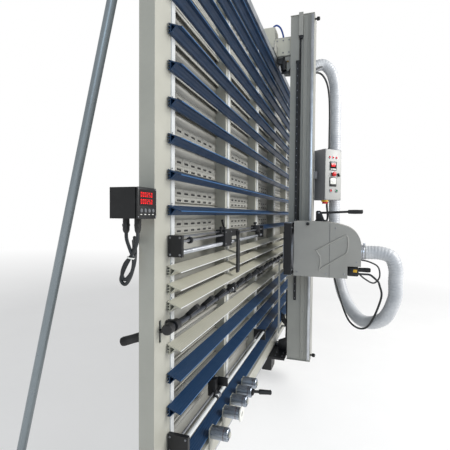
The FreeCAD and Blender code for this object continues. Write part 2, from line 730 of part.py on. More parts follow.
def head_carriage():
    height = ("box_low", "box_top")
    plate = box("turn_plate", ("box_left", "box_right - 2"), ("box_back", "box_front"), height)
    bore = rod("turn_bore", "n", "turn_bore_radius", "head_x", ("100", "400"), "head_v")
    side = box("side_plate", ("1740", "box_right - 2"), ("167", "372"), ("968", "1312"))
    front_lip = box("front_lip", ("box_right - 2", "1808"), ("column_front + 0.1", "372"), ("968", "1312"))
    back_lip = box("back_lip", ("box_right - 2", "1808"), ("167", "column_back - 0.1"), ("968", "1312"))
    blank = fuse("carriage_blank", [plate, side, front_lip, back_lip])
    subpart("head_carriage", [cut("carriage", blank, [bore])])
    clearance = "turn_clearance"
    spigot = rod("spigot", "n", f"turn_bore_radius - {clearance}", "head_x", ("212", "270"), "head_v")
    flange_n = (f"box_front + {clearance}", "box_front + 10")
    flange = rod("flange", "n", "163", "head_x", flange_n, "head_v")
    keeper = rod("keeper", "n", "160", "head_x", ("207", f"box_back - {clearance}"), "head_v")
    inner = rod("ring_bore", "n", "turn_bore_radius - ring_wall", "head_x", ("100", "400"), "head_v")
    subpart("turret_ring", [cut("ring", fuse("ring_blank", [spigot, flange, keeper]), [inner])])


def cover_outline(inset):
    """The closed side outline of the two covers, with its round nose and the notch for the grip."""
    back, nose, notch = 276, 728 - inset, 642 - inset
    low, top = 945 + inset, 1335 - inset
    shelf = 1030 + inset
    start = back - (20 if inset else 0)
    edges = [
        Part.makeLine(at(0, start, low), at(0, start, top)),
        Part.makeLine(at(0, start, top), at(0, 440, top)),
        Part.Arc(at(0, 440, top), at(0, 545, top - 9), at(0, 640, top - 34)).toShape(),
        Part.Arc(at(0, 640, top - 34), at(0, 702 - inset, top - 82), at(0, nose, top - 155)).toShape(),
        Part.makeLine(at(0, nose, top - 155), at(0, nose, shelf)),
        Part.makeLine(at(0, nose, shelf), at(0, notch, shelf)),
        Part.makeLine(at(0, notch, shelf), at(0, notch, low)),
        Part.makeLine(at(0, notch, low), at(0, start, low)),
    ]
    return Part.Face(Part.Wire(edges))


def covers():
    left, right, wall, seam = size("cover_left"), size("cover_right"), size("cover_wall"), size("cover_seam")
    outer = cover_outline(0).extrude(Vector(right - left, 0, 0)).translated(Vector(left, 0, 0))
    inner = cover_outline(wall).extrude(Vector(right - left - 2 * wall, 0, 0))
    inner = inner.translated(Vector(left + wall, 0, 0))
    shell = outer.cut(inner)
    foot = box("lever_foot", ("1470", "1530"), ("418", "486"), ("1335", "1343"))
    cheeks = [box(f"cheek_{x}", (str(x), str(x + 6)), ("420", "452"), ("1343", "1408")) for x in (1481, 1513)]
    pin = rod("cheek_pin", "x", "5", ("1482", "1518"), "440", "1395")
    bracket = fuse("bracket", [foot, *cheeks, pin])
    behind = Part.makeBox(400, seam - 200, 800, at(1300, seam, 800))
    knob_hole = Part.makeCylinder(5.05, 40, at(1370, 373, 1317), X_AXIS)
    subpart("blade_cover", [solid("rear_cover", shell.common(behind).cut(knob_hole).Solids[0]), bracket])
    outlet = Part.makeCylinder(46, 60, at(size("head_x"), 700, size("head_v")), Vector(0, -1, 0))
    slot = Part.makeBox(101, 64, 90, at(1460, 704, 946))
    subpart("motor_cover", [solid("front_cover", shell.cut([behind, outlet, slot]).Solids[0])])
    port = rod("port_tube", "n", "port_radius", "head_x", ("728", "758"), "head_v")
    flange = rod("port_flange", "n", "58", "head_x", ("728", "733"), "head_v")
    bore = rod("port_bore", "n", "port_radius - 2", "head_x", ("700", "900"), "head_v")
    subpart("exhaust_port", [cut("port", fuse("port_blank", [port, flange]), [bore])])


def saw_blade():
    """The toothed disc. Each tooth is a steep face, a sloped back and a gullet."""
    teeth, tip = 40, size("blade_radius")
    root = tip - 7
    centre = at(size("blade_x") - size("blade_thick") / 2, size("spindle_front"), size("head_v"))
    corners = []
    for tooth in range(teeth):
        for share, radius in ((0.0, root), (0.12, tip), (0.55, tip - 2.5), (0.8, root)):
            angle = 2 * math.pi * (tooth + share) / teeth
            corners.append(centre + Vector(0, radius * math.cos(angle), radius * math.sin(angle)))
    disc = Part.Face(Part.makePolygon(corners + corners[:1])).extrude(Vector(size("blade_thick"), 0, 0))
    bore = Part.makeCylinder(size("spindle_radius"), 20, centre - Vector(5, 0, 0), X_AXIS)
    subpart("saw_blade", [solid("blade", disc.cut(bore))])


def belt_loop(gap, left, width):
    """The outline of a belt round both pulleys, this far off their rims, as a solid between two planes."""
    small = size("spindle_pulley_radius") + gap
    large = size("motor_pulley_radius") + gap
    near, far, v = size("spindle_front"), size("motor_front"), size("head_v")
    tilt = math.asin((large - small) / (far - near))
    edges = []
    ends = {}
    for side in (1, -1):
        for n, radius in ((near, small), (far, large)):
            n_rim = n - radius * math.sin(tilt)
            ends[(n, side)] = at(left, n_rim, v + side * radius * math.cos(tilt))
        edges.append(Part.makeLine(ends[(near, side)], ends[(far, side)]))
    edges.append(Part.Arc(ends[(near, 1)], at(left, near - small, v), ends[(near, -1)]).toShape())
    edges.append(Part.Arc(ends[(far, 1)], at(left, far + large, v), ends[(far, -1)]).toShape())
    loop = Part.Wire(Part.__sortEdges__(edges))
    return Part.Face(loop).extrude(Vector(width, 0, 0))


def saw_drive():
    near, far, v = "spindle_front", "motor_front", "head_v"
    plate = box("arm_plate", ("1556", "1566"), ("312", "690"), ("head_v - 80", "head_v + 80"))
    housing = rod("spindle_housing", "x", "34", ("1492", "1557"), near, v)
    bores = [
        rod("spindle_bore", "x", "spindle_radius + 0.05", ("1480", "1580"), near, v),
        rod("motor_hole", "x", "spindle_radius + 4", ("1550", "1580"), far, v),
    ]
    subpart("saw_arm", [cut("arm", fuse("arm_blank", [plate, housing]), bores)])
    body = rod("motor_body", "x", "motor_radius", ("1410", "1556"), far, v)
    terminals = box("terminal_box", ("1440", "1500"), ("565", "635"), ("head_v + 60", "head_v + 98"))
    hole = rod("motor_bore", "x", "spindle_radius + 0.05", ("1500", "1560"), far, v)
    subpart("saw_motor", [cut("motor", fuse("motor_blank", [body, terminals]), [hole])])
    pulley_x = ("pulley_left", "pulley_left + pulley_width")
    shaft = rod("motor_shaft", "x", "spindle_radius", ("1501", "pulley_left + 1"), far, v)
    disc = rod("motor_disc", "x", "motor_pulley_radius", pulley_x, far, v)
    subpart("motor_pulley", [fuse("motor_pulley_set", [shaft, disc])])
    shaft = rod("spindle_shaft", "x", "spindle_radius", ("1457", "pulley_left + 1"), near, v)
    flange_x = ("blade_x + blade_thick / 2", "1488")
    flange = rod("inner_flange", "x", "30", flange_x, near, v)
    disc = rod("spindle_disc", "x", "spindle_pulley_radius", pulley_x, near, v)
    nut = cut("outer_flange", rod("nut_disc", "x", "28", ("1460", "blade_x - blade_thick / 2"), near, v), [
        rod("nut_bore", "x", "spindle_radius", ("1450", "1480"), near, v)])
    subpart("blade_spindle", [fuse("spindle_set", [shaft, flange, disc]), nut])
    left, width = size("pulley_left") + 2, size("pulley_width") - 4
    loop = belt_loop(0.05 + size("belt_thick"), left, width).cut(belt_loop(0.05, left, width))
    subpart("drive_belt", [solid("belt_shape", loop.Solids[0])])


def blade_shoe():
    block = box("shoe_block", ("1454", "1490"), ("190", "206"), ("986", "1254"))
    slot = box("shoe_slot", ("blade_x - 5", "blade_x + 5"), ("180", "220"), ("992", "1248"))
    pins = [rod(f"shoe_pin_{v}", "n", "4", "1484", ("205", "330"), str(v)) for v in (1004, 1236)]
    subpart("blade_shoe", [fuse("shoe", [cut("shoe_frame", block, [slot]), *pins])])


def head_handles():
    switch = box("switch_box", ("1470", "1530"), ("646", "712"), ("956", "1010"))
    hanger = box("grip_hanger", ("1500", "1556"), ("650", "690"), ("1008", "1052"))
    grip = rod("grip_bar", "n", "10", "1500", ("711", "795"), "996")
    subpart("hand_grip", [fuse("grip", [switch, hanger, grip])])
    pivot = rod("lever_pivot", "x", "11", ("1488", "1512"), "440", "1395")
    arm = Part.makeCylinder(6, 210, at(1500, 440, 1395), Vector(0, -300, 14))
    handle = Part.makeCylinder(10, 98, at(1500, 640, 1404.3), Vector(0, -300, 14))
    bore = rod("lever_bore", "x", "5.05", ("1480", "1520"), "440", "1395")
    shank = solid("lever_arm", arm.fuse(handle).removeSplitter())
    subpart("turn_lever", [cut("lever", fuse("lever_blank", [pivot, shank]), [bore])])
    knob = rod("knob_ball", "x", "11", ("1370", "1388"), "373", "1317")
    plunger = rod("knob_pin", "x", "5", ("1387", "1402"), "373", "1317")
    subpart("index_knob", [fuse("knob", [knob, plunger])])


def hose_and_cables():
    """The dust hose from the top of the beam down to the head's port, and the cable that hangs with it."""
    hose = [at(2020, 302, 2520), at(2020, 302, 2570), at(2033, 334, 2648), at(2065, 412, 2679)]
    hose += [at(2090, 470, 2636), at(2106, 505, 2550), at(2115, 520, 2430), at(2118, 522, 2300)]
    hose += [at(2120, 522, 1950), at(2120, 524, 1500), at(2070, 540, 1080), at(1900, 610, 740), at(1700, 740, 590)]
    hose += [at(1560, 880, 640), at(1502, 950, 800), at(1500, 955, 930), at(1500, 955, 1010)]
    hose += [at(1500, 926, 1091), at(1500, 856, 1119), at(1500, 745, 1120)]
    wall = size("hose_wall")
    subpart("exhaust_hose", [solid("hose", swept(hose, size("hose_radius"), wall))])
    cable = [at(1900, 372, 2640), at(1990, 450, 2560), at(2052, 508, 2350), at(2058, 514, 1950), at(2058, 514, 1480)]
    cable += [at(1980, 530, 1080), at(1840, 580, 760), at(1690, 680, 560), at(1560, 790, 580), at(1490, 870, 800)]
    cable += [at(1485, 850, 915), at(1485, 790, 966), at(1485, 750, 968), at(1485, 714, 968)]
    subpart("head_cables", [solid("cable", swept(cable, 7))])
    right_of_column = "column_left + column_width"
    collar = ("2020", "302")
    inside = "hose_radius - hose_wall"
    upper = rod("collar_upper", "v", f"{inside} - 2", *collar, ("2450", "2560"))
    lower = rod("collar_lower", "v", "outlet_radius", *collar, ("2390", "2450"))
    bore = rod("collar_bore", "v", f"{inside} - 4", *collar, ("2380", "2600"))
    arm = box("collar_arm", (right_of_column, "2000"), ("282", "322"), ("2452", "2460"))
    ring = rod("collar_ring", "v", "54", *collar, ("2450", "2462"))
    hole = rod("collar_hole", "v", f"{inside} - 2", *collar, ("2440", "2470"))
    holder = cut("collar_holder", fuse("collar_blank", [arm, ring]), [hole])
    subpart("hose_collar", [cut("collar_pipe", fuse("collar_pipes", [upper, lower]), [bore]), holder])


# ---------------------------------------------------------------- build, check and write

BUILDERS = [end_posts, inner_posts, post_strips, beams, slats, back_panels, floor_feet, rear_struts, rollers]
BUILDERS += [stop_rails, upper_stop, lower_stop, middle_support, readout, saw_beam, top_carriage, bottom_carriage]
BUILDERS += [control_box, head_carriage, covers, saw_blade, saw_drive, blade_shoe, head_handles, hose_and_cables]

for build in BUILDERS:
    build()
doc.recompute()

for item in doc.Objects:
    if "Invalid" in item.State or "Error" in item.State:
        raise RuntimeError(f"{item.Name} did not compute: {item.State}")
for item in SUBPARTS:
    if item.Shape.isNull() or not item.Shape.isValid():
        raise RuntimeError(f"{item.Label} has no valid shape")
    item.Shape.exportStep(f"parts/{item.Label}.step")
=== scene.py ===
"""Looks of the panel saw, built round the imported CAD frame.

Lengths are millimetres in the machine's own axes: x along the frame, n out towards the operator, and v up
along the leaning frame. Colours are display values from 0 to 255.
"""

import math

import bmesh
import bpy
from mathutils import Matrix, Vector

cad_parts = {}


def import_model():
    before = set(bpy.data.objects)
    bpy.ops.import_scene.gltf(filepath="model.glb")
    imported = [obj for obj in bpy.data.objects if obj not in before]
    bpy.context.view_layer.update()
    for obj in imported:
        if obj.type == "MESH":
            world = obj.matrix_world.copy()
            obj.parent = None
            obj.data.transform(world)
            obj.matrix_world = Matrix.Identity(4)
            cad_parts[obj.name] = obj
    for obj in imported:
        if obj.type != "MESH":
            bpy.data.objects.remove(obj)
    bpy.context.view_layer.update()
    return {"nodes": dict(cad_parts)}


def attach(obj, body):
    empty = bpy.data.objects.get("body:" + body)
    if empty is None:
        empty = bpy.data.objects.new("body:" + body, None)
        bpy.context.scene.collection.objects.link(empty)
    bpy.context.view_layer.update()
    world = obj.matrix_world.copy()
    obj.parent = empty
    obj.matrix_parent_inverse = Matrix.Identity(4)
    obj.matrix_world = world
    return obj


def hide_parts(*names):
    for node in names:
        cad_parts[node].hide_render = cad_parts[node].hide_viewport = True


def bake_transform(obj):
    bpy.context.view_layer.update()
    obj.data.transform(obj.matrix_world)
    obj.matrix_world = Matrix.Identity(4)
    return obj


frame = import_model()
CAD = frame["nodes"]

LEAN = Matrix.Rotation(math.radians(-5), 4, "X")
TO_WORLD = LEAN @ Matrix.Scale(0.001, 4)
UP_V = Vector((0, 0, 1))
OUT_N = Vector((0, -1, 0))
ALONG_X = Vector((1, 0, 0))


def at(x, n, v):
    """A point of the machine as a local vector in millimetres, before the lean."""
    return Vector((x, -n, v))


def world(x, n, v):
    """The same point in metres in the record's frame."""
    return TO_WORLD @ at(x, n, v)


# ---- places shared by several pieces

POST_PITCH = 685
FIRST_STRIP = 33.5
SLAT_PITCH = 134
FIRST_LIP = 1392
BLUE_LIPS = [FIRST_LIP + SLAT_PITCH * k for k in range(10)] + [756, 629, 375]
BEIGE_LIPS = [1164, 1097, 1030, 868]
PAN_HEIGHT = 120
PAN_DROP = 96
SLOT_PITCH = 75
SLOTS_ACROSS = 7
SHAFT_N, SHAFT_V = 30, 965
ROLLER_V = 390
HEAD_X, HEAD_V = 1500, 1120
BOX_X, BOX_N = 1850, 456
INNER_BAYS = [(763.5 + POST_PITCH * i, 1358.5 + POST_PITCH * i) for i in range(4)]
BAYS = [(48, 673.5), *INNER_BAYS, (3503.5, 4129)]


def strip(bay):
    """Where the strip on a post is along the frame."""
    return FIRST_STRIP + POST_PITCH * bay


def pan_low(row):
    """Height of the lower edge of a row of pans; row 0 is behind the lowest of the ten blue slats."""
    return FIRST_LIP - PAN_DROP + SLAT_PITCH * row


# ---- materials


def srgb(r, g, b):
    """A colour given as 0 to 255 display values, made linear."""
    lin = [(c / 255) / 12.92 if c <= 10 else ((c / 255 + 0.055) / 1.055) ** 2.4 for c in (r, g, b)]
    return (*lin, 1.0)


def new_material(name):
    mat = bpy.data.materials.new(name)
    mat.use_nodes = True
    nodes = mat.node_tree.nodes
    links = mat.node_tree.links
    return mat, nodes, links, nodes["Principled BSDF"]


def noise(nodes, links, scale, detail=4.0, stretch=(1, 1, 1), rough=0.6):
    """A noise texture on object coordinates, stretched along an axis for brushed or rolled surfaces."""
    coords = nodes.new("ShaderNodeTexCoord")
    mapping = nodes.new("ShaderNodeMapping")
    mapping.inputs["Scale"].default_value = stretch
    tex = nodes.new("ShaderNodeTexNoise")
    tex.inputs["Scale"].default_value = scale
    tex.inputs["Detail"].default_value = detail
    tex.inputs["Roughness"].default_value = rough
    links.new(coords.outputs["Object"], mapping.inputs["Vector"])
    links.new(mapping.outputs["Vector"], tex.inputs["Vector"])
    return tex.outputs["Fac"]


def remap(nodes, links, value, low, high, start=0.3, end=0.7):
    node = nodes.new("ShaderNodeMapRange")
    node.inputs["From Min"].default_value = start
    node.inputs["From Max"].default_value = end
    node.inputs["To Min"].default_value = low
    node.inputs["To Max"].default_value = high
    links.new(value, node.inputs["Value"])
    return node.outputs["Result"]


def mixed(nodes, links, factor, first, second):
    node = nodes.new("ShaderNodeMix")
    node.data_type = "RGBA"
    for socket, value in ((node.inputs[6], first), (node.inputs[7], second)):
        if isinstance(value, tuple):
            socket.default_value = value
        else:
            links.new(value, socket)
    links.new(factor, node.inputs[0])
    return node.outputs[2]


def bump(nodes, links, height, strength, distance, under=None):
    node = nodes.new("ShaderNodeBump")
    node.inputs["Strength"].default_value = strength
    node.inputs["Distance"].default_value = distance
    links.new(height, node.inputs["Height"])
    if under is not None:
        links.new(under, node.inputs["Normal"])
    return node.outputs["Normal"]


def edge_mask(nodes, links, radius):
    """1 near an edge of the mesh and 0 on its flats, from how far a bevelled normal turns."""
    bevel = nodes.new("ShaderNodeBevel")
    bevel.samples = 4
    bevel.inputs["Radius"].default_value = radius
    geometry = nodes.new("ShaderNodeNewGeometry")
    dot = nodes.new("ShaderNodeVectorMath")
    dot.operation = "DOT_PRODUCT"
    links.new(bevel.outputs["Normal"], dot.inputs[0])
    links.new(geometry.outputs["Normal"], dot.inputs[1])
    return remap(nodes, links, dot.outputs["Value"], 1.0, 0.0, 0.80, 0.995)


def reeds(nodes, links, pitch):
    """A height that rises and falls across the depth of a slat, as its extruded reeds do."""
    coords = nodes.new("ShaderNodeTexCoord")
    split = nodes.new("ShaderNodeSeparateXYZ")
    links.new(coords.outputs["Object"], split.inputs[0])
    angle = nodes.new("ShaderNodeMath")
    angle.operation = "MULTIPLY"
    angle.inputs[1].default_value = 2 * math.pi / pitch
    links.new(split.outputs["Y"], angle.inputs[0])
    wave = nodes.new("ShaderNodeMath")
    wave.operation = "SINE"
    links.new(angle.outputs[0], wave.inputs[0])
    return wave.outputs[0]


def paint(name, colour, rough=0.42, peel=0.12, mottle=0.06, worn=None, metallic=0.0, reeded=0.0):
    """Sprayed or powder-coated metal: orange-peel bump, faint clouds, rubbed edges and dusty patches."""
    mat, nodes, links, shader = new_material(name)
    base = srgb(*colour)
    dark = tuple(c * (1 - 2.2 * mottle) for c in base[:3]) + (1.0,)
    light = tuple(min(1, c * (1 + mottle)) for c in base[:3]) + (1.0,)
    cloud = remap(nodes, links, noise(nodes, links, 3.5, 6), 0, 1)
    tone = mixed(nodes, links, cloud, dark, light)
    if worn:
        grain = remap(nodes, links, noise(nodes, links, 160, 3), 0.2, 1.0, 0.42, 0.6)
        mask = nodes.new("ShaderNodeMath")
        mask.operation = "MULTIPLY"
        links.new(edge_mask(nodes, links, 0.0016), mask.inputs[0])
        links.new(grain, mask.inputs[1])
        tone = mixed(nodes, links, mask.outputs[0], tone, srgb(*worn))
    links.new(tone, shader.inputs["Base Color"])
    smear = remap(nodes, links, noise(nodes, links, 11, 8), rough - 0.07, rough + 0.1)
    links.new(smear, shader.inputs["Roughness"])
    under = bump(nodes, links, reeds(nodes, links, reeded), 0.5, 0.0006) if reeded else None
    links.new(bump(nodes, links, noise(nodes, links, 420, 2), peel, 0.0006, under), shader.inputs["Normal"])
    shader.inputs["Metallic"].default_value = metallic
    return mat


def metal(name, colour, rough=0.3, stretch=(1, 60, 60), scale=9, scratch=0.25):
    """Bare metal with a drawn or machined grain along one axis, fine scratches and a little staining."""
    mat, nodes, links, shader = new_material(name)
    grain = noise(nodes, links, scale, 8, stretch)
    stain = remap(nodes, links, noise(nodes, links, 6, 6), 0, 1, 0.35, 0.75)
    base = srgb(*colour)
    stained = srgb(*(int(c * 0.72) for c in colour))
    links.new(mixed(nodes, links, stain, base, stained), shader.inputs["Base Color"])
    shader.inputs["Metallic"].default_value = 1.0
    links.new(remap(nodes, links, grain, rough - 0.08, rough + 0.14), shader.inputs["Roughness"])
    links.new(bump(nodes, links, grain, scratch, 0.0004), shader.inputs["Normal"])
    return mat


def plastic(name, colour, rough=0.4, grain=700, depth=0.15, dust=0.05):
    """Moulded plastic or rubber with a spark-eroded grain and a trace of dust."""
    mat, nodes, links, shader = new_material(name)
    base = srgb(*colour)
    dusty = tuple(c + (0.35 - c) * dust * 3 for c in base[:3]) + (1.0,)
    cloud = remap(nodes, links, noise(nodes, links, 14, 7), 0, 1, 0.45, 0.8)
    links.new(mixed(nodes, links, cloud, base, dusty), shader.inputs["Base Color"])
    links.new(remap(nodes, links, noise(nodes, links, 30, 5), rough - 0.08, rough + 0.1),
              shader.inputs["Roughness"])
    links.new(bump(nodes, links, noise(nodes, links, grain, 2), depth, 0.0003), shader.inputs["Normal"])
    return mat


def glow(name, colour, strength):
    """A lit indicator under a moulded lens, slightly uneven across its face."""
    mat, nodes, links, shader = new_material(name)
    cloud = remap(nodes, links, noise(nodes, links, 500, 2), 0.75, 1.0)
    links.new(mixed(nodes, links, cloud, (0, 0, 0, 1), srgb(*colour)), shader.inputs["Emission Color"])
    shader.inputs["Emission Strength"].default_value = strength
    shader.inputs["Base Color"].default_value = srgb(*colour)
    shader.inputs["Roughness"].default_value = 0.25
    return mat


def clear_hose(name):
    """Silvery plastic of the wire-wound hose, with faint clouds; its ribs are in the mesh."""
    mat, nodes, links, shader = new_material(name)
    cloud = remap(nodes, links, noise(nodes, links, 9, 6), 0, 1)
    links.new(mixed(nodes, links, cloud, srgb(176, 179, 184), srgb(204, 206, 209)),
              shader.inputs["Base Color"])
    shader.inputs["Metallic"].default_value = 0.05
    links.new(remap(nodes, links, noise(nodes, links, 40, 4), 0.42, 0.56), shader.inputs["Roughness"])
    shader.inputs["Coat Weight"].default_value = 0.12
    links.new(bump(nodes, links, noise(nodes, links, 60, 4), 0.15, 0.001), shader.inputs["Normal"])
    return mat


M = {
    "frame": paint("frame_paint", (172, 171, 161), 0.42, 0.2, 0.04),
    "strut": paint("strut_paint", (140, 148, 152), 0.30, 0.08, 0.04, metallic=0.3),
    "cuff": paint("cuff_paint", (150, 152, 152), 0.4, 0.1, 0.04),
    # Dark grey for the strips behind the slotted rows: painted shade, standing for the shade inside the pans
    # seen through the slots.
    "slot_shade": paint("painted_slot_shade", (62, 62, 62), 0.7, 0.1, 0.05),
    # A lighter blue for thin strips on the blue slats' front lips: a painted highlight where the lips catch
    # the light.
    "highlight_blue": paint("slat_highlight_blue_paint", (44, 92, 140), 0.34, 0.06, 0.04),
    "strip": paint("strip_paint", (206, 208, 208), 0.30, 0.10, 0.03),
    "pan": paint("pan_paint", (178, 177, 170), 0.44, 0.12, 0.04),
    "blue": paint("slat_blue", (6, 46, 80), 0.46, 0.06, 0.05, worn=(40, 78, 116), reeded=0.009),
    "beige": paint("slat_beige", (178, 176, 162), 0.38, 0.08, 0.03, reeded=0.009),
    "alu": metal("extruded_aluminium", (206, 210, 216), 0.34, (1, 50, 50), 8, 0.18),
    "black": paint("black_coat", (12, 13, 17), 0.46, 0.30, 0.10, worn=(44, 44, 48)),
    "steel": metal("drawn_steel", (200, 202, 208), 0.30, (1, 70, 70), 8, 0.06),
    "roller": metal("roller_steel", (170, 178, 190), 0.30, (60, 1, 60), 8, 0.05),
    "turned": metal("turned_steel", (160, 162, 168), 0.32, (60, 1, 60), 8, 0.08),
    "shaft": metal("dark_shaft", (92, 96, 106), 0.34, (1, 60, 60), 8, 0.2),
    "copper": metal("bearing_ring", (120, 84, 70), 0.36, (1, 40, 40), 8, 0.2),
    "brass": metal("brass_fitting", (186, 150, 82), 0.30, (1, 40, 40), 8, 0.2),
    "column": paint("column_paint", (158, 158, 152), 0.46, 0.2, 0.04),
    "trolley": paint("trolley_paint", (204, 202, 188), 0.42, 0.16, 0.03),
    "rail_dark": paint("rail_black", (14, 15, 20), 0.36, 0.08, 0.08),
    "head": paint("head_paint", (164, 163, 158), 0.54, 0.6, 0.05),
    "seam": paint("seam_shadow", (104, 105, 104), 0.6, 0.10, 0.05),
    # The control box wears one grey paint in two copies: the darker is painted shade for its shaded sides,
    # the lighter is painted light on its lit front plate.
    "box": paint("box_shaded_paint", (124, 124, 128), 0.46, 0.14, 0.03),
    "box_front": paint("box_front_paint", (176, 176, 173), 0.46, 0.14, 0.03),
    "plastic": plastic("black_plastic", (12, 13, 15), 0.42, 700, 0.15, 0.02),
    "rubber": plastic("black_rubber", (11, 12, 13), 0.58, 380, 0.3, 0.03),
    "grey_rubber": plastic("grey_rubber", (92, 94, 98), 0.55, 380, 0.2, 0.05),
    "glass": plastic("dark_window", (26, 10, 12), 0.12, 200, 0.02, 0.0),
    "cable": plastic("cable_sheath", (20, 26, 30), 0.42, 300, 0.2, 0.03),
    "blue_hose": plastic("blue_hose", (24, 70, 150), 0.30, 300, 0.1, 0.02),
    "red": plastic("red_plastic", (190, 22, 24), 0.28, 400, 0.05, 0.0),
    "green": plastic("green_plastic", (20, 104, 66), 0.30, 400, 0.05, 0.0),
    "yellow": plastic("yellow_plastic", (222, 172, 28), 0.36, 400, 0.05, 0.0),
    "white": plastic("white_plastic", (226, 226, 220), 0.36, 400, 0.05, 0.0),
    "glow": glow("lit_figures", (235, 26, 30), 1.0),
    "pilot": glow("pilot_lens", (210, 24, 22), 0.5),
    "hose": clear_hose("clear_hose"),
}

FINISH = {
    "frame": "end_posts inner_posts cross_beams floor_feet roller_axles",
    "strip": "post_strips",
    "strut": "rear_struts",
    "pan": "back_panels",
    "blue": "blue_slats",
    "beige": "grey_slats",
    "alu": "beam_rails",
    "black": "bottom_carriage stop_rail_brackets shaft_bearings upper_stop_carriage lower_stop_carriage"
             " upper_stop_flag support_fingers",
    "rail_dark": "column_rail head_carriage",
    "shaft": "support_shaft",
    "steel": "stop_rods saw_blade exhaust_port hose_collar blade_spindle saw_arm motor_pulley",
    "turned": "turret_ring top_wheel_left top_wheel_right bottom_wheel",
    "column": "beam_column top_carriage saw_motor",
    "head": "blade_cover motor_cover",
    # The box body takes the darker grey copy: painted shade on its sides.
    "box": "control_box",
    "plastic": "index_knob readout_case upper_stop_lever selector_switch hand_grip turn_lever support_lever"
               " blade_shoe",
    "rubber": "head_cables drive_belt counter_belt exhaust_hose",
    "red": "estop_button stop_button main_switch",
    "green": "start_button",
    "roller": " ".join(f"support_roller_{number}" for number in range(1, 6)),
}
for key, names in FINISH.items():
    for node_name in names.split():
        CAD[node_name].data.materials.clear()
        CAD[node_name].data.materials.append(M[key])


# ---- mesh helpers


def settle(name, bm, mat, body=None, smooth=32):
    """Turns a mesh built in machine millimetres into a piece that rides on a body."""
    mesh = bpy.data.meshes.new(name)
    bmesh.ops.recalc_face_normals(bm, faces=bm.faces)
    bm.to_mesh(mesh)
    bm.free()
    mesh.transform(TO_WORLD)
    for polygon in mesh.polygons:
        polygon.use_smooth = True
    mesh.set_sharp_from_angle(angle=math.radians(smooth))
    mesh.materials.append(M[mat])
    obj = bpy.data.objects.new(name, mesh)
    bpy.context.scene.collection.objects.link(obj)
    if body:
        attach(obj, body)
    return obj


def add_block(bm, x, n, v, bevel=1.5, segments=2):
    """A box between pairs of x, n and v with rounded edges, added to a mesh."""
    made = bmesh.ops.create_cube(bm, size=1.0)
    size = (x[1] - x[0], n[1] - n[0], v[1] - v[0])
    centre = at((x[0] + x[1]) / 2, (n[0] + n[1]) / 2, (v[0] + v[1]) / 2)
    for vert in made["verts"]:
        vert.co = Vector((vert.co.x * size[0], vert.co.y * size[1], vert.co.z * size[2])) + centre
    if bevel:
        edges = {e for vert in made["verts"] for e in vert.link_edges}
        offset = min(bevel, 0.45 * min(size))
        bmesh.ops.bevel(bm, geom=list(edges), offset=offset, segments=segments, profile=0.5, affect="EDGES")


def block(name, x, n, v, mat, body, bevel=1.5, segments=2):
    bm = bmesh.new()
    add_block(bm, x, n, v, bevel, segments)
    return settle(name, bm, mat, body)


def square_to(direction):
    """Two unit vectors square to a direction."""
    along = direction.normalized()
    side = along.cross(UP_V if abs(along.z) < 0.9 else ALONG_X).normalized()
    return side, along.cross(side).normalized()


def circle(bm, centre, side, other, radius, sides):
    """Points round a circle that lies along two unit vectors."""
    angles = [2 * math.pi * i / sides for i in range(sides)]
    return [bm.verts.new(centre + (side * math.cos(a) + other * math.sin(a)) * radius) for a in angles]


def add_lathe(bm, start, direction, profile, sides=32):
    """A turned shape: profile is pairs of distance along the axis and radius."""
    along = direction.normalized()
    side, other = square_to(direction)
    rings = []
    for distance, radius in profile:
        centre = start + along * distance
        if radius <= 0.001:
            rings.append([bm.verts.new(centre)])
            continue
        rings.append(circle(bm, centre, side, other, radius, sides))
    for low, high in zip(rings, rings[1:]):
        for i in range(sides):
            j = (i + 1) % sides
            if len(low) == 1 and len(high) > 1:
                bm.faces.new((low[0], high[j], high[i]))
            elif len(high) == 1 and len(low) > 1:
                bm.faces.new((low[i], low[j], high[0]))
            elif len(low) > 1:
                bm.faces.new((low[i], low[j], high[j], high[i]))


def lathe(name, start, direction, profile, mat, body, sides=32, smooth=32):
    bm = bmesh.new()
    add_lathe(bm, start, direction, profile, sides)
    return settle(name, bm, mat, body, smooth=smooth)


def pin_profile(length, radius, chamfer=1.0):
    return [(0, 0), (0, radius - chamfer), (chamfer, radius), (length - chamfer, radius),
            (length, radius - chamfer), (length, 0)]


def collar(length, bore, outer, edge=1.0, step=1.0):
    """Half section of a ring with broken edges, each edge long and step high."""
    return [(0, bore), (0, outer - step), (edge, outer), (length - edge, outer), (length, outer - step),
            (length, bore)]


def knob(stem, neck, head, shoulder, length, end):
    """Half section of a knob: a stem up to the neck, then a head that swells to its shoulder."""
    return [(0, 0), (0, stem), (neck, stem), (neck + 1, head), (shoulder, head + 1), (length, end),
            (length, 0)]


def rod(length, radius):
    """Half section of a plain solid cylinder."""
    return [(0, 0), (0, radius), (length, radius), (length, 0)]


def prism(name, plane, outline, span, mat, body, bevel=1.0, segments=2):
    """An outline in the nv, xv or xn plane, pushed along the axis it leaves out."""
    bm = bmesh.new()
    add_prism(bm, plane, outline, span, bevel, segments)
    return settle(name, bm, mat, body)


def add_prism(bm, plane, outline, span, bevel=1.0, segments=2):
    spots = {
        "nv": lambda a, b, s: at(s, a, b),
        "xv": lambda a, b, s: at(a, s, b),
        "xn": lambda a, b, s: at(a, b, s),
    }[plane]
    low = [bm.verts.new(spots(a, b, span[0])) for a, b in outline]
    high = [bm.verts.new(spots(a, b, span[1])) for a, b in outline]
    caps = [bm.faces.new(low), bm.faces.new(high)]
    count = len(outline)
    for i in range(count):
        j = (i + 1) % count
        bm.faces.new((low[i], low[j], high[j], high[i]))
    if bevel:
        edges = {e for cap in caps for e in cap.edges}
        bmesh.ops.bevel(bm, geom=list(edges), offset=bevel, segments=segments, profile=0.5, affect="EDGES")


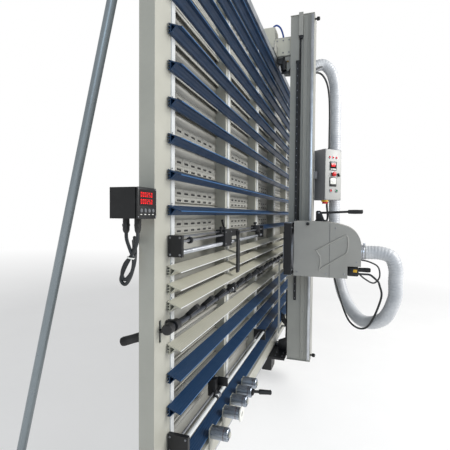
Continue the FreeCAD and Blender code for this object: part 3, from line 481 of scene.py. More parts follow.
def smooth_path(points, step):
    """Points evenly spaced along a Catmull-Rom curve through the given ones."""
    spots = [Vector(p) for p in points]
    spots = [spots[0] * 2 - spots[1]] + spots + [spots[-1] * 2 - spots[-2]]
    dense = []
    for a, b, c, d in zip(spots, spots[1:], spots[2:], spots[3:]):
        for i in range(40):
            t = i / 40
            dense.append(0.5 * ((2 * b) + (c - a) * t + (2 * a - 5 * b + 4 * c - d) * t * t
                                + (3 * b - a - 3 * c + d) * t ** 3))
    dense.append(spots[-2])
    even, gone, want = [dense[0]], 0.0, step
    for p, q in zip(dense, dense[1:]):
        length = (q - p).length
        while gone + length >= want:
            even.append(p.lerp(q, (want - gone) / length))
            want += step
        gone += length
    if (even[-1] - dense[-1]).length > step * 0.3:
        even.append(dense[-1])
    return even


def add_tube(bm, points, radius, step=8.0, sides=16, rib=None):
    """A round tube along a smooth path. rib gives the extra radius at a distance along it."""
    path = smooth_path(points, step)
    side = square_to(path[1] - path[0])[0]
    rings = []
    for i, centre in enumerate(path):
        ahead = path[min(i + 1, len(path) - 1)] - path[max(i - 1, 0)]
        side = (side - ahead.normalized() * side.dot(ahead.normalized())).normalized()
        other = ahead.normalized().cross(side)
        size = radius + (rib(i * step) if rib else 0.0)
        rings.append(circle(bm, centre, side, other, size, sides))
    for low, high in zip(rings, rings[1:]):
        for k in range(sides):
            j = (k + 1) % sides
            bm.faces.new((low[k], low[j], high[j], high[k]))
    bm.faces.new(rings[0])
    bm.faces.new(rings[-1])


def tube(name, points, radius, mat, body=None, step=8.0, sides=16, rib=None):
    bm = bmesh.new()
    add_tube(bm, [at(*p) for p in points], radius, step, sides, rib)
    return settle(name, bm, mat, body, smooth=60)


def round_rect(low, high, radius, steps=5):
    """Corners of a rectangle between two points, rounded."""
    corners = [(high[0] - radius, high[1] - radius, 0), (low[0] + radius, high[1] - radius, 90)]
    corners += [(low[0] + radius, low[1] + radius, 180), (high[0] - radius, low[1] + radius, 270)]
    points = []
    for cx, cy, first in corners:
        for i in range(steps + 1):
            a = math.radians(first + 90 * i / steps)
            points.append((cx + radius * math.cos(a), cy + radius * math.sin(a)))
    return points


def screw_heads(name, places, direction, radius, body, height):
    """Socket-head screws as one piece: a domed head with a recess, at each place."""
    bm = bmesh.new()
    profile = [(0, 0), (0, radius), (height * 0.7, radius), (height, radius * 0.8), (height, radius * 0.45)]
    profile += [(height * 0.4, radius * 0.4), (height * 0.4, 0)]
    for place in places:
        add_lathe(bm, at(*place), direction, profile, 14)
    settle(name, bm, "turned", body)


# ---- frame pieces


def perforated_pans():
    """Folded pans between the posts; the upper ten rows carry two lines of slots each."""
    bm = bmesh.new()
    for left, right in BAYS:
        for row in range(-7, 10):
            low = pan_low(row)
            top = low + PAN_HEIGHT
            pan_web(bm, left, right, low, row >= 0)
            folds = [((-62, top), (-44, top)), ((-44, top), (-44, top - 12)), ((-62, low), (-50, low))]
            for (n0, v0), (n1, v1) in folds:
                add_sheet(bm, (left, right), (n0, n1), (v0, v1))
    pans = settle("perforated_pans", bm, "pan")
    # The dark strips behind the slotted rows are painted shade seen through the slots; the strips in the
    # pans' own colour fill the joints between pans.
    pan_strips("slot_shade_strips", range(10), (4, 62), "slot_shade")
    pan_strips("pan_joints", range(-7, 9), (PAN_HEIGHT - 4, PAN_HEIGHT + 18), "pan")
    sheet = pans.modifiers.new("sheet", "SOLIDIFY")
    sheet.thickness = 0.0015
    sheet.offset = 0
    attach(pans, "frame")
    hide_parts("back_panels")


def add_sheet(bm, x, n, v):
    """A flat face between two x, its lower edge at the first n and v and its upper edge at the second."""
    corners = (at(x[0], n[0], v[0]), at(x[1], n[0], v[0]), at(x[1], n[1], v[1]), at(x[0], n[1], v[1]))
    bm.faces.new([bm.verts.new(corner) for corner in corners])


def pan_strips(name, rows, span, mat):
    """Flat strips behind the pans, in each bay and row; span is two heights above a pan's lower edge."""
    bm = bmesh.new()
    for left, right in BAYS:
        for row in rows:
            add_block(bm, (left, right), (-65.5, -64), (pan_low(row) + span[0], pan_low(row) + span[1]), 0)
    settle(name, bm, mat, "frame")


def pan_web(bm, left, right, low, slotted):
    """The upright face of a pan, cut into cells; a cell with a slot is a ring of faces round it."""
    depth = -61
    rows = [(low, low + 26), (low + 26, low + 63),
            (low + 63, low + PAN_HEIGHT)] if slotted else [(low, low + PAN_HEIGHT)]
    first = left + (right - left - SLOTS_ACROSS * SLOT_PITCH) / 2
    for index, (bottom, top) in enumerate(rows):
        if not slotted or index == 2:
            add_sheet(bm, (left, right), (depth, depth), (bottom, top))
            continue
        for a, b in ((left, first), (first + SLOTS_ACROSS * SLOT_PITCH, right)):
            add_sheet(bm, (a, b), (depth, depth), (bottom, top))
        for cell in range(SLOTS_ACROSS):
            x0 = first + SLOT_PITCH * cell
            slot_cell(bm, x0, x0 + SLOT_PITCH, bottom, top, (bottom + top) / 2 - 5, depth)


def slot_cell(bm, x0, x1, bottom, top, height, depth):
    """Faces that fill a cell round a slot 45 long and 9 high with round ends."""
    centre = (x0 + x1) / 2
    inner = []
    for side, first in ((18, -90), (-18, 90)):
        for i in range(5):
            a = math.radians(first + 45 * i)
            inner.append((centre + side + 4.5 * math.cos(a), height + 4.5 * math.sin(a)))
    outer = [(x1 - 8, bottom), (x1, bottom), (x1, height), (x1, top), (x1 - 8, top)]
    outer += [(x0 + 8, top), (x0, top), (x0, height), (x0, bottom), (x0 + 8, bottom)]
    ring_in = [bm.verts.new(at(x, depth, v)) for x, v in inner]
    ring_out = [bm.verts.new(at(x, depth, v)) for x, v in outer]
    for i in range(10):
        j = (i + 1) % 10
        bm.faces.new((ring_in[i], ring_in[j], ring_out[j], ring_out[i]))


def frame_details():
    """Pans, the screws that hold the slats, painted highlights along the slats' front lips and the end posts'
    caps.
    """
    perforated_pans()
    heads = [(strip(bay) - 10, 0.4, lip + 27) for bay in range(7) for lip in BLUE_LIPS + BEIGE_LIPS]
    screw_heads("slat_screws", heads, OUT_N, 3.2, "frame", 1.6)
    # Thin strips on each slat's front lip, lighter than the slat: painted highlights, light blue on the blue
    # slats and near white on the beige ones.
    for name, lips, mat in (("blue_edge_highlights", BLUE_LIPS, "highlight_blue"), ("beige_edge_highlights", BEIGE_LIPS, "strip")):
        bm = bmesh.new()
        for lip in lips:
            add_block(bm, (-9, 4186), (54.6, 55.9), (lip - 3.4, lip + 0.5), 0.4, 1)
        settle(name, bm, mat, "frame")
    for name, span in (("post_cap_left", (-104, 50)), ("post_cap_right", (4127, 4281))):
        block(name, span, (-68, 32), (2675, 2679), "plastic", "frame", 1.2)


def roller_looks():
    """Turned rollers with a recessed hub and a coloured band; the second wears a wide cream disc."""
    for number, x in enumerate((300, 485, 612, 718, 828), 1):
        profile = [(0, 8.2), (0, 27), (2, 29), (58, 29), (58.5, 28.3), (61, 28.3), (61.5, 29), (77, 29),
                   (79.5, 26.5)]
        profile += [(79.5, 22), (76, 21), (76, 13), (77.5, 12.5), (77.5, 8.2)]
        shell = lathe(f"roller_shell_{number}", at(x, 68, ROLLER_V), OUT_N, profile, "roller",
                      f"roller_{number}", 48)
        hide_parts(f"support_roller_{number}")
        lathe(f"roller_band_{number}", at(x, 127, ROLLER_V), OUT_N, [(0, 29.05), (0.3, 29.5), (1.6, 29.5),
                                                                     (1.9, 29.05)], "copper",
              f"roller_{number}", 48)
    disc = [(0, 12), (0, 33), (2, 35), (7, 35), (9, 33), (9, 14), (7, 12)]
    lathe("roller_disc", at(485, 148.2, ROLLER_V), OUT_N, disc, "white", "roller_2", 48)
    handle = [(0, 0), (0, 8), (24, 8), (26, 12), (30, 14), (84, 12.5), (92, 14), (97, 9), (97, 0)]
    lathe("roller_handle", at(735, 158, 388), OUT_N + ALONG_X * 0.45 - UP_V * 0.12, handle, "plastic",
          "frame", 24)
    block("handle_clevis", (700, 736), (148, 160), (380, 404), "black", "frame", 2)


def stop_rail_looks():
    """Screws, collars, knobs and pads on the two rails that carry the length stops."""
    screw_heads("upper_bracket_screws", [(-6.2, n, v) for n in (8, 48) for v in (1227, 1291)], -ALONG_X, 4.2,
                "frame", 2.2)
    screw_heads("lower_bracket_screws", [(-6.2, n, v) for n in (9, 74) for v in (480, 532)], -ALONG_X, 4.2,
                "frame", 2.2)
    for name, x, n, v, radius in (("front_collar", 82, 46, 1276, 5), ("white_collar", 332, 70, 526, 8)):
        lathe(name, at(x, n, v), ALONG_X, collar(14.5, radius, 13, 1.5, 2), "black", "frame", 36)
        lathe(f"{name}_screw", at(x + 7, n, v + 12), UP_V, pin_profile(6, 3.0, 0.8), "turned", "frame", 16)
    bm = bmesh.new()
    add_tube(bm, [at(12, 40, 1233), at(500, 40, 1233), at(1366, 40, 1233)], 9.1, 3.0, 20,
             lambda d: 0.75 if int(d / 3) % 2 else 0.0)
    settle("ribbed_rod_thread", bm, "alu", "frame", smooth=20)
    block("second_stop_body", (1180, 1240), (12, 60), (1262, 1306), "black", "frame", 3)
    block("second_stop_pad", (1240, 1262), (30, 58), (1226, 1300), "black", "frame", 2)
    lathe("second_stop_knob", at(1205, 36, 1306), UP_V, knob(5, 8, 11, 18, 22, 9), "plastic", "frame", 24)
    for x in (500, 590):
        screw_heads(f"carriage_screws_{x}", [(x, 60.2, v) for v in (1230, 1290)], OUT_N, 3.6, "upper_stop", 2)
    lathe("carriage_knob", at(470, 46, 1290), UP_V, knob(4, 14, 9, 26, 29, 6), "plastic", "upper_stop", 24)
    block("knob_tab", (460, 492), (38, 54), (1284, 1291), "black", "upper_stop", 1.5)
    block("flag_pad", (688, 732), (64.5, 67.5), (1066, 1240), "rubber", "stop_flag", 1.2)
    bm = bmesh.new()
    for x, n, v in (((385, 423), (12, 52), (506, 588)), ((423, 450), (16, 60), (513, 560)),
                    ((423, 430), (50, 100), (545, 589))):
        add_block(bm, x, n, v, 2)
    stop = settle("lower_stop_body", bm, "black", "lower_stop")
    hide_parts("lower_stop_carriage")
    lathe("lower_stop_ring", at(366, 70, 526), ALONG_X, collar(18, 8.5, 13), "turned", "lower_stop", 32)
    lathe("lower_stop_knob", at(404, 32, 588), UP_V, knob(5, 10, 12, 24, 28, 9), "plastic", "lower_stop", 24)
    lathe("white_rod_skin", at(12, 70, 526), ALONG_X, [(0, 8), (0, 8.4), (1333, 8.4), (1333, 8)], "strip",
          "frame", 28)


def support_looks():
    """Swing fingers and clamp sleeves on the shaft, its bearing blocks, and the hand lever with its grip."""
    bm = bmesh.new()
    blade = [(22, 977), (37, 969), (79, 1003), (79.5, 1008), (70, 1017), (63, 1016)]
    for number in range(24):
        x = 110 + 170 * number
        add_prism(bm, "nv", blade, (x - 13, x + 13), 1.2, 2)
        add_lathe(bm, at(x - 5, SHAFT_N, SHAFT_V), ALONG_X, [(0, 12.6), (0, 14.5), (10, 14.5), (10, 12.6)],
                  28)
    blades = settle("finger_blades", bm, "black", "middle_support")
    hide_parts("support_fingers")
    bm = bmesh.new()
    sleeve = collar(13.5, 12.6, 16.5, 1.5)
    for bay in range(1, 7):
        add_lathe(bm, at(strip(bay) - 34, SHAFT_N, SHAFT_V), ALONG_X, sleeve, 32)
    settle("shaft_sleeves", bm, "turned", "middle_support")
    bm = bmesh.new()
    add_lathe(bm, at(-24, SHAFT_N, SHAFT_V), ALONG_X, collar(32, 12.6, 21.5, 1.5, 1.5), 40)
    add_block(bm, (-20, 8), (-4, 16), (949, 981), 2)
    for bay in range(1, 7):
        add_block(bm, (strip(bay) - 12, strip(bay) + 12), (0, 48), (942, 986), 3)
    blocks = settle("bearing_blocks", bm, "black", "frame")
    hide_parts("shaft_bearings")
    down = math.radians(20)
    away = Vector((0, math.cos(down), -math.sin(down)))
    pivot = at(-59, SHAFT_N, SHAFT_V)
    bm = bmesh.new()
    add_lathe(bm, at(-75, SHAFT_N, SHAFT_V), ALONG_X, collar(32, 12.5, 20, 1.5), 36)
    add_lathe(bm, pivot + away * 17, away, rod(82, 8), 24)
    lever = settle("swing_lever", bm, "black", "middle_support")
    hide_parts("support_lever")
    grip = [(0, 8), (0, 14), (3, 17), (16, 17.6), (60, 16.4), (100, 17.6), (108, 16), (112, 11), (113, 0)]
    lathe("lever_grip", pivot + away * 98, away, grip, "rubber", "middle_support", 32)
    lathe("shaft_plug", at(-80, SHAFT_N, SHAFT_V), ALONG_X, [(0, 0), (0, 16), (2.5, 18.5), (4, 18.5)],
          "plastic", "middle_support", 32)


# ---- length readout

SEGMENTS = {"0": "abcdef", "2": "abged", "5": "afgcd"}


def digit(bm, x, v, shown, depth, tall=15.0):
    """One seven-segment figure in the readout's window, its corner at x and v."""
    wide, bar = tall * 0.5, tall * 0.13
    half = tall / 2
    spots = {
        "a": ((0, tall - bar), (wide, tall)), "d": ((0, 0), (wide, bar)),
        "g": ((0, half - bar / 2), (wide, half + bar / 2)),
        "f": ((0, half), (bar, tall)), "e": ((0, 0), (bar, half)),
        "b": ((wide - bar, half), (wide, tall)), "c": ((wide - bar, 0), (wide, half)),
    }
    for segment in SEGMENTS[shown]:
        (x0, v0), (x1, v1) = spots[segment]
        add_block(bm, (x + x0 + 0.3, x + x1 - 0.3), (depth, depth + 0.5), (v + v0 + 0.3, v + v1 - 0.3), 0)


def readout_looks():
    """The length readout's bezel, lit figures, keys and marks, and its two cables tied in a loop."""
    outline = round_rect((-251, 1363), (-135, 1464), 6)
    prism("readout_frame", "xv", outline, (15, 21.5), "plastic", "frame", 1.2)
    prism("readout_window", "xv", round_rect((-241, 1405), (-145, 1456), 3), (21.5, 22.3), "glass", "frame",
          0.3, 1)
    bm = bmesh.new()
    for v, shown in ((1433, "000250"), (1411, "000250")):
        for i, figure in enumerate(shown):
            digit(bm, -234 + 12.5 * i, v, figure, 22.4)
    settle("readout_figures", bm, "glow", "frame")
    bm = bmesh.new()
    for i in range(4):
        add_lathe(bm, at(-230 + 24 * i, 21.5, 1390), OUT_N, [(0, 0), (0, 7), (2.2, 6.6), (3.2, 5.2),
                                                             (3.2, 0)], 24)
    settle("readout_keys", bm, "grey_rubber", "frame")
    bm = bmesh.new()
    for i in range(4):
        add_block(bm, (-235 + 24 * i, -225 + 24 * i), (21.5, 22.1), (1376, 1378.5), 0.2, 1)
    settle("readout_marks", bm, "white", "frame")
    screw_heads("readout_screws", [(x, 21.4, v) for x in (-246, -140) for v in (1369, 1459)], OUT_N, 2.6,
                "frame", 1.2)
    for i, n in enumerate((-58, -14)):
        nut = [(0, 8), (0, 13), (8, 13), (9, 11.5), (20, 11.5), (26, 9.5), (30, 7), (30, 6)]
        lathe(f"gland_{i}", at(-193, n, 1346), -UP_V, nut, "plastic", "frame", 6 if i else 8, 20)
    left = [(-193, -58, 1322), (-193, -56, 1294), (-193, -42, 1258), (-193, -30, 1228), (-193, -36, 1188)]
    left += [(-193, -62, 1160), (-193, -74, 1178), (-191, -64, 1212), (-186, -44, 1238), (-160, -50, 1262),
             (-112, -82, 1284)]
    tube("readout_cable_left", left, 6, "cable", "frame", 5, 14)
    right = [(-193, -14, 1322), (-193, -15, 1292), (-193, -28, 1256), (-193, -48, 1226), (-193, -68, 1190)]
    right += [(-193, -78, 1158), (-193, -62, 1144), (-193, -44, 1166), (-192, -30, 1206), (-186, -28, 1236),
              (-160, -44, 1264), (-112, -78, 1296)]
    tube("readout_cable_right", right, 6, "cable", "frame", 5, 14)
    tie = [(0, 9), (0, 14), (4, 14), (4, 9)]
    lathe("cable_tie", at(-193, -39, 1232), Vector((0, -0.2, 1)), tie, "white", "frame", 20)


# ---- saw beam pieces


def column_looks():
    """Guide strip and lips, rail screws, end caps, buffers, clamp, side knob and the counterweight belt."""
    bm = bmesh.new()
    for k in range(33):
        add_lathe(bm, at(1764.6, 236, 700 + 58 * k), -ALONG_X, [(0, 0), (0, 3.6), (1.6, 3.4), (1.6, 2),
                                                                (0.6, 1.8), (0.6, 0)], 14)
    settle("rail_screws", bm, "turned", "saw_beam")
    block("guide_strip", (1764, 1772), (340, 360), (200, 2970), "alu", "saw_beam", 1.5)
    block("guide_lip", (1769, 1780), (283, 287), (196, 2974), "column", "saw_beam", 0.8)
    block("guide_lip_inner", (1771, 1780), (318, 322), (196, 2974), "column", "saw_beam", 0.8)
    block("column_cap_top", (1770, 1962), (174, 365), (2981, 2986), "column", "saw_beam", 2)
    block("column_cap_low", (1770, 1962), (174, 365), (183, 188), "column", "saw_beam", 2)
    nose = [(241, 2814), (279, 2814), (272, 2788), (248, 2788)]
    prism("belt_cover_nose", "nv", nose, (1756, 1780), "black", "saw_beam", 1.0)
    for name, v, low in (("buffer_top", 2944, 363), ("buffer_low", 232, 363)):
        profile = [(0, 0), (0, 7), (16, 7), (16, 13), (20, 15), (34, 15), (40, 11), (42, 0)]
        lathe(name, at(1800, low, v), OUT_N, profile, "rubber", "saw_beam", 28)
    block("rail_clamp", (1766, 1780), (222, 250), (2600, 2622), "black", "saw_beam", 2)
    screw_heads("column_screws", [(1779.5, 300, v) for v in range(260, 2900, 330)], -ALONG_X, 3.4, "saw_beam",
                1.6)
    block("side_knob_plate", (1808, 1816), (120, 150), (505, 545), "black", "saw_beam", 2)
    lathe("side_knob", at(1808, 135, 525), -ALONG_X, knob(6, 8, 13, 19, 23, 9), "plastic", "saw_beam", 26)
    belt = block("belt_looks", (1766.5, 1770.5), (249, 264), (1310, 2813), "rubber", None, 0.6)
    bend(belt)
    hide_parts("counter_belt")


def trolley_looks():
    """Covers, bolts, brake and air line on the upper trolley; plates and bolts on the lower one."""
    block("trolley_cover", (1812, 1958), (-62, 42), (2700, 2940), "trolley", "saw_beam", 7, 3)
    block("trolley_arm_cover", (1812, 1948), (40, 177), (2694, 2838), "trolley", "saw_beam", 5, 3)
    block("trolley_step", (1800, 1815), (-30, 60), (2688, 2760), "black", "saw_beam", 3)
    screw_heads("trolley_bolts", [(1811.6, n, v) for n in (60, 110, 158) for v in (2716, 2816)], -ALONG_X, 6,
                "saw_beam", 4)
    lathe("brake_cylinder", at(1806, 118, 2566), UP_V, [(0, 0), (0, 20), (3, 23), (74, 23), (77, 20), (77, 9),
                                                        (110, 9), (110, 0)], "black", "saw_beam", 28)
    block("brake_jaw", (1790, 1830), (70, 112), (2620, 2668), "rail_dark", "saw_beam", 3)
    block("brake_shoe", (1812, 1830), (96, 160), (2548, 2566), "black", "saw_beam", 3)
    lathe("brake_fitting", at(1806, 142, 2640), OUT_N, pin_profile(16, 5), "brass", "saw_beam", 12)
    air = [(1830, 20, 2926), (1826, 26, 2944), (1826, 52, 2954), (1828, 82, 2930), (1832, 102, 2880),
           (1834, 110, 2836)]
    tube("air_hose", air, 7, "blue_hose", "saw_beam", 5, 16)
    block("guide_cover", (1716, 1864), (-20, 60), (92, 213), "black", "saw_beam", 6, 3)
    screw_heads("guide_bolts", [(x, n, 233) for x in (1690, 1760, 2000) for n in (96, 150)], UP_V, 6,
                "saw_beam", 4)
    block("guide_arm_skin", (1813, 1829), (100, 174), (236, 318), "black", "saw_beam", 1.5)
    lathe("guide_spring", at(1905, 140, 233), UP_V, pin_profile(34, 9), "turned", "saw_beam", 20)


# ---- control box


def panel(along, out, v):
    """A point on the control box: along its front from the left corner, out from the front face."""
    c = math.sqrt(0.5)
    return at(BOX_X + (along - out) * c, BOX_N + (along + out) * c, v)


PANEL_OUT = at(-math.sqrt(0.5), math.sqrt(0.5), 0)
PANEL_TURN = Matrix.Translation(at(BOX_X, BOX_N, 0)) @ Matrix.Rotation(math.radians(-45), 4, "Z")


def panel_block(name, along, out, v, mat, bevel=1.0):
    """A block in the control box's own axes: along its front, out of the front face, up."""
    bm = bmesh.new()
    add_block(bm, along, out, v, bevel)
    bm.transform(PANEL_TURN)
    settle(name, bm, mat, "saw_beam")


def panel_lathe(name, along, v, profile, mat, body="saw_beam", sides=32):
    return lathe(name, panel(along, 0, v), PANEL_OUT, profile, mat, body, sides)


def control_looks():
    """Front plate, side handle and the three pilot lamps of the control box."""
    # The front plate's lighter grey is painted light on the lit front face of the box.
    panel_block("box_front", (2, 172), (0, 4), (1506, 1917), "box_front", bevel=2.5)
    panel_block("box_handle", (1, 5), (-80, -40), (1640, 1780), "black", bevel=1.5)
    for i, along in enumerate((46, 82, 118)):
        ring = [(0, 12), (6.5, 12), (7.5, 11), (7.5, 8.8), (6, 8.5)]
        panel_lathe(f"pilot_ring_{i}", along, 1853, ring, "turned")
        dome = [(6, 8.6), (8.5, 8.2), (11.5, 6.0), (13, 3), (13.4, 0)]
        panel_lathe(f"pilot_lens_{i}", along, 1853, dome, "pilot")


def meter_looks():
    """The lit meter with its scale, and the ammeter with its marks and needle."""
    panel_block("meter_frame", (46, 118), (4, 9), (1748, 1820), "plastic", bevel=1.5)
    panel_block("meter_window", (52, 112), (9, 9.8), (1764, 1814), "glass", bevel=0.3)
    for i in range(3):
        panel_block(f"meter_figure_{i}", (63 + 14 * i, 72 + 14 * i), (9.7, 10.1), (1778, 1802), "glow",
                    bevel=0.2)
    panel_block("meter_scale", (52, 112), (9, 9.6), (1753, 1761), "white", bevel=0.2)
    panel_block("ammeter_frame", (46, 118), (4, 9), (1616, 1688), "plastic", bevel=1.5)
    panel_block("ammeter_face", (52, 112), (9, 9.8), (1636, 1682), "white", bevel=0.3)
    bm = bmesh.new()
    for i in range(9):
        a = math.radians(150 - 15 * i)
        along, v = 82 + 26 * math.cos(a), 1644 + 26 * math.sin(a)
        add_block(bm, (along - 0.7, along + 0.7), (9.8, 10.1), (v - 2.4, v + 2.4), 0)
    for i in range(30):
        t = i / 29
        along, v = 82 - 17 * t, 1642 + 19 * t
        add_block(bm, (along - 0.6, along + 0.6), (9.9, 10.3), (v - 0.6, v + 0.6), 0)
    bm.transform(PANEL_TURN)
    settle("ammeter_marks", bm, "rubber", "saw_beam")
    panel_block("ammeter_sill", (52, 112), (9, 10.4), (1620, 1633), "plastic", bevel=0.6)


def button_looks():
    """Rings and keys of the buttons, the mushroom stop and the main switch's skirt."""
    panel_lathe("estop_plate", 82, 1716, [(4, 12), (4, 22), (6, 22), (7, 20), (7, 12)], "turned", sides=48)
    skirt = [(0, 0), (0, 27), (2, 28), (12, 28), (14, 26), (14, 12)]
    lathe("main_switch_skirt", panel(30, -30, 1503), -UP_V, skirt, "yellow", "saw_beam", 40)
    cap = [(10, 11), (14, 12), (16, 19.6), (20, 20.8), (25, 19), (28.5, 13), (29.4, 0)]
    mushroom = panel_lathe("estop_cap", 82, 1716, cap, "red", "estop", 48)
    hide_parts("estop_button")
    panel_lathe("estop_neck", 82, 1716, rod(12, 9), "plastic", "estop")
    for name, along, v in (("selector", 138, 1712), ("stop", 60, 1581), ("start", 121, 1581)):
        ring = [(4, 10.5), (4, 14.5), (8, 14.5), (9, 13.2), (9, 10.5)]
        panel_lathe(f"{name}_ring", along, v, ring, "turned", sides=36)
    for name, along, mat in (("stop", 60, "red"), ("start", 121, "green")):
        key = [(0, 0), (0, 10), (8.5, 10), (9.6, 9), (9.4, 4), (9.0, 0)]
        piece = panel_lathe(f"{name}_key", along, 1581, key, mat, name, 36)
        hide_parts(f"{name}_button")


def box_fittings():
    """The four screws of the front plate, and the cable that leaves the box below."""
    bm = bmesh.new()
    for spot in [panel(a, 4, v) for a in (9, 165) for v in (1514, 1909)]:
        add_lathe(bm, spot, PANEL_OUT, [(0, 0), (0, 4.2), (1.4, 4.0), (2.4, 3), (2.4, 0)], 16)
    settle("box_screws", bm, "turned", "saw_beam")
    low = panel(82, -60, 1503)
    gland = [(0, 13), (8, 13), (9, 11), (20, 10), (24, 8)]
    lathe("box_gland", low, -UP_V, gland, "plastic", "saw_beam", 20)
    spots = [(82, -60, 1495), (82, -62, 1455), (88, -60, 1400), (90, -62, 1350), (80, -76, 1312),
             (70, -90, 1290)]
    bm = bmesh.new()
    add_tube(bm, [panel(a, o, v) for a, o, v in spots], 8.5, 5, 14)
    settle("box_cable", bm, "cable", "saw_beam", smooth=60)


# ---- saw head


def cover_looks():
    """Cast cover: rounded edges on both halves, their seam, the panel's rim, screws, vents and hose bands."""
    for node in ("blade_cover", "motor_cover"):
        round_edges(node, 5, 3)
    sunk = [(426, 1135), (458, 1154), (520, 1190), (580, 1224), (612, 1242), (628, 1248), (640, 1240),
            (646, 1222), (648, 1186), (646, 1150), (640, 1124), (628, 1108), (600, 1090), (540, 1050),
            (490, 1018), (462, 996), (450, 988), (446, 996), (452, 1020), (456, 1056), (450, 1090),
            (436, 1116), (424, 1128)]
    ring_panel("cover_panel", sunk, (1384.5, 1391), "head")
    bm = bmesh.new()
    add_block(bm, (1388.8, 1611.2), (520.6, 523.4), (944, 1327), 0.6)
    settle("cover_seam", bm, "seam", "turret")
    places = [(1389.6, 560, 1290), (1389.6, 700, 1060), (1389.6, 300, 975), (1389.6, 620, 975),
              (1389.6, 500, 970)]
    screw_heads("cover_screws", places, -ALONG_X, 5.2, "turret", 3.4)
    bm = bmesh.new()
    for k in range(6):
        add_block(bm, (1440, 1560), (460 + 12 * k, 466 + 12 * k), (1334.5, 1336.2), 0.5, 1)
    settle("cover_vents", bm, "rubber", "turret")
    lathe("port_band", at(HEAD_X, 740, HEAD_V), OUT_N, collar(12, 46, 51.5), "steel", "turret", 56)
    block("band_clamp", (1494, 1506), (742, 758), (1171, 1184), "steel", "turret", 1.5)
    cuff = [(0, 43), (0, 48), (1, 49), (27, 49), (29, 48), (29, 43)]
    lathe("port_cuff", at(HEAD_X, 733, HEAD_V), OUT_N, cuff, "cuff", "turret", 56)


def ring_panel(name, outline, span, mat):
    """A raised band along an outline in the nv plane, the rim of a panel in a casting; span is its two x."""
    centre = (sum(p[0] for p in outline) / len(outline), sum(p[1] for p in outline) / len(outline))
    curve = [Vector((0, n, v)) for n, v in outline + outline[:1]]
    dense = smooth_path(curve, 12)[:-1]
    bm = bmesh.new()
    profile = [(0.0, span[1]), (3.0, span[0]), (7.0, span[0]), (12.0, span[1])]
    rings = []
    for i, spot in enumerate(dense):
        ahead = dense[(i + 1) % len(dense)] - dense[i - 1]
        inward = Vector((0, -ahead.z, ahead.y)).normalized()
        if inward.dot(Vector((0, centre[0] - spot.y, centre[1] - spot.z))) < 0:
            inward.negate()
        rings.append([bm.verts.new(at(x, spot.y + inward.y * d, spot.z + inward.z * d)) for d, x in profile])
    for i, low in enumerate(rings):
        high = rings[(i + 1) % len(rings)]
        for k in range(3):
            bm.faces.new((low[k], low[k + 1], high[k + 1], high[k]))
    settle(name, bm, mat, "turret")


def lever_bracket_looks():
    """The black clevis that carries the turning lever, fitted round the casting's own lugs."""
    block("lever_foot", (1467, 1533), (415, 489), (1335.5, 1345), "black", "turret", 2)
    for x in (1480, 1512.4):
        cheek = [(419, 1344), (478, 1344), (454, 1404), (446, 1411), (428, 1411), (419, 1402)]
        prism(f"lever_cheek_{x:.0f}", "nv", cheek, (x, x + 7.6), "black", "turret", 1.5)
    lathe("lever_axle", at(1463, 440, 1395), ALONG_X, pin_profile(74, 7), "turned", "turret", 20)


def head_looks():
    """The carriage plate's bright edges, the ring's bolts, the switch box's shroud and the two hand grips."""
    block("plate_edge_top", (1327, 1740), (213.5, 267.5), (1321, 1324), "alu", "carriage", 0.8)
    block("plate_edge_low", (1327, 1740), (213.5, 267.5), (956, 959), "alu", "carriage", 0.8)
    block("side_edge", (1737, 1741), (172, 368), (972, 1308), "rail_dark", "carriage", 1.2)
    for node in ("head_carriage", "hand_grip"):
        round_edges(node, 3)
    bm = bmesh.new()
    for i in range(8):
        a = math.radians(22.5 + 45 * i)
        add_lathe(bm, at(HEAD_X + 152.5 * math.cos(a), 276, HEAD_V + 152.5 * math.sin(a)), OUT_N,
                  [(0, 0), (0, 5), (3.4, 5), (4, 4.2), (4, 0)], 16)
    settle("ring_bolts", bm, "turned", "turret")
    bolts = [(1350, 266, v) for v in (990, 1140, 1290)] + [(1700, 266, v) for v in (990, 1290)]
    screw_heads("plate_bolts", bolts, OUT_N, 6, "carriage", 4)
    block("label_field", (1465.4, 1467.4), (680, 706), (980, 1000), "yellow", "turret", 0.5)
    prism("switch_shroud", "nv", round_rect((640, 952), (716, 1014), 10), (1466.5, 1533.5), "plastic",
          "turret", 2)
    grip = [(0, 0), (0, 13), (3, 15.5), (20, 15), (60, 16.5), (76, 15), (80, 10), (80, 0)]
    lathe("hand_grip_sleeve", at(1500, 716, 996), OUT_N, grip, "rubber", "turret", 28)
    lathe("turn_grip", at(1500, 640, 1404), OUT_N, [(0, 0), (0, 12), (3, 14), (50, 15), (92, 14), (99, 9),
                                                    (99, 0)], "rubber", "turn_handle", 28)
    lathe("turn_shank", at(1500, 454, 1395.4), OUT_N + UP_V * 0.047, rod(188, 8), "black", "turn_handle", 24)


# ---- hose and cables


def bend(piece):
    """Bakes a soft piece's placing into its mesh; the piece follows no body."""
    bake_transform(piece)


def rib_wave(distance):
    """Radius added along the hose by the wire that stiffens it, wound at a 20 mm pitch."""
    return 0.9 * math.cos(2 * math.pi * distance / 20)


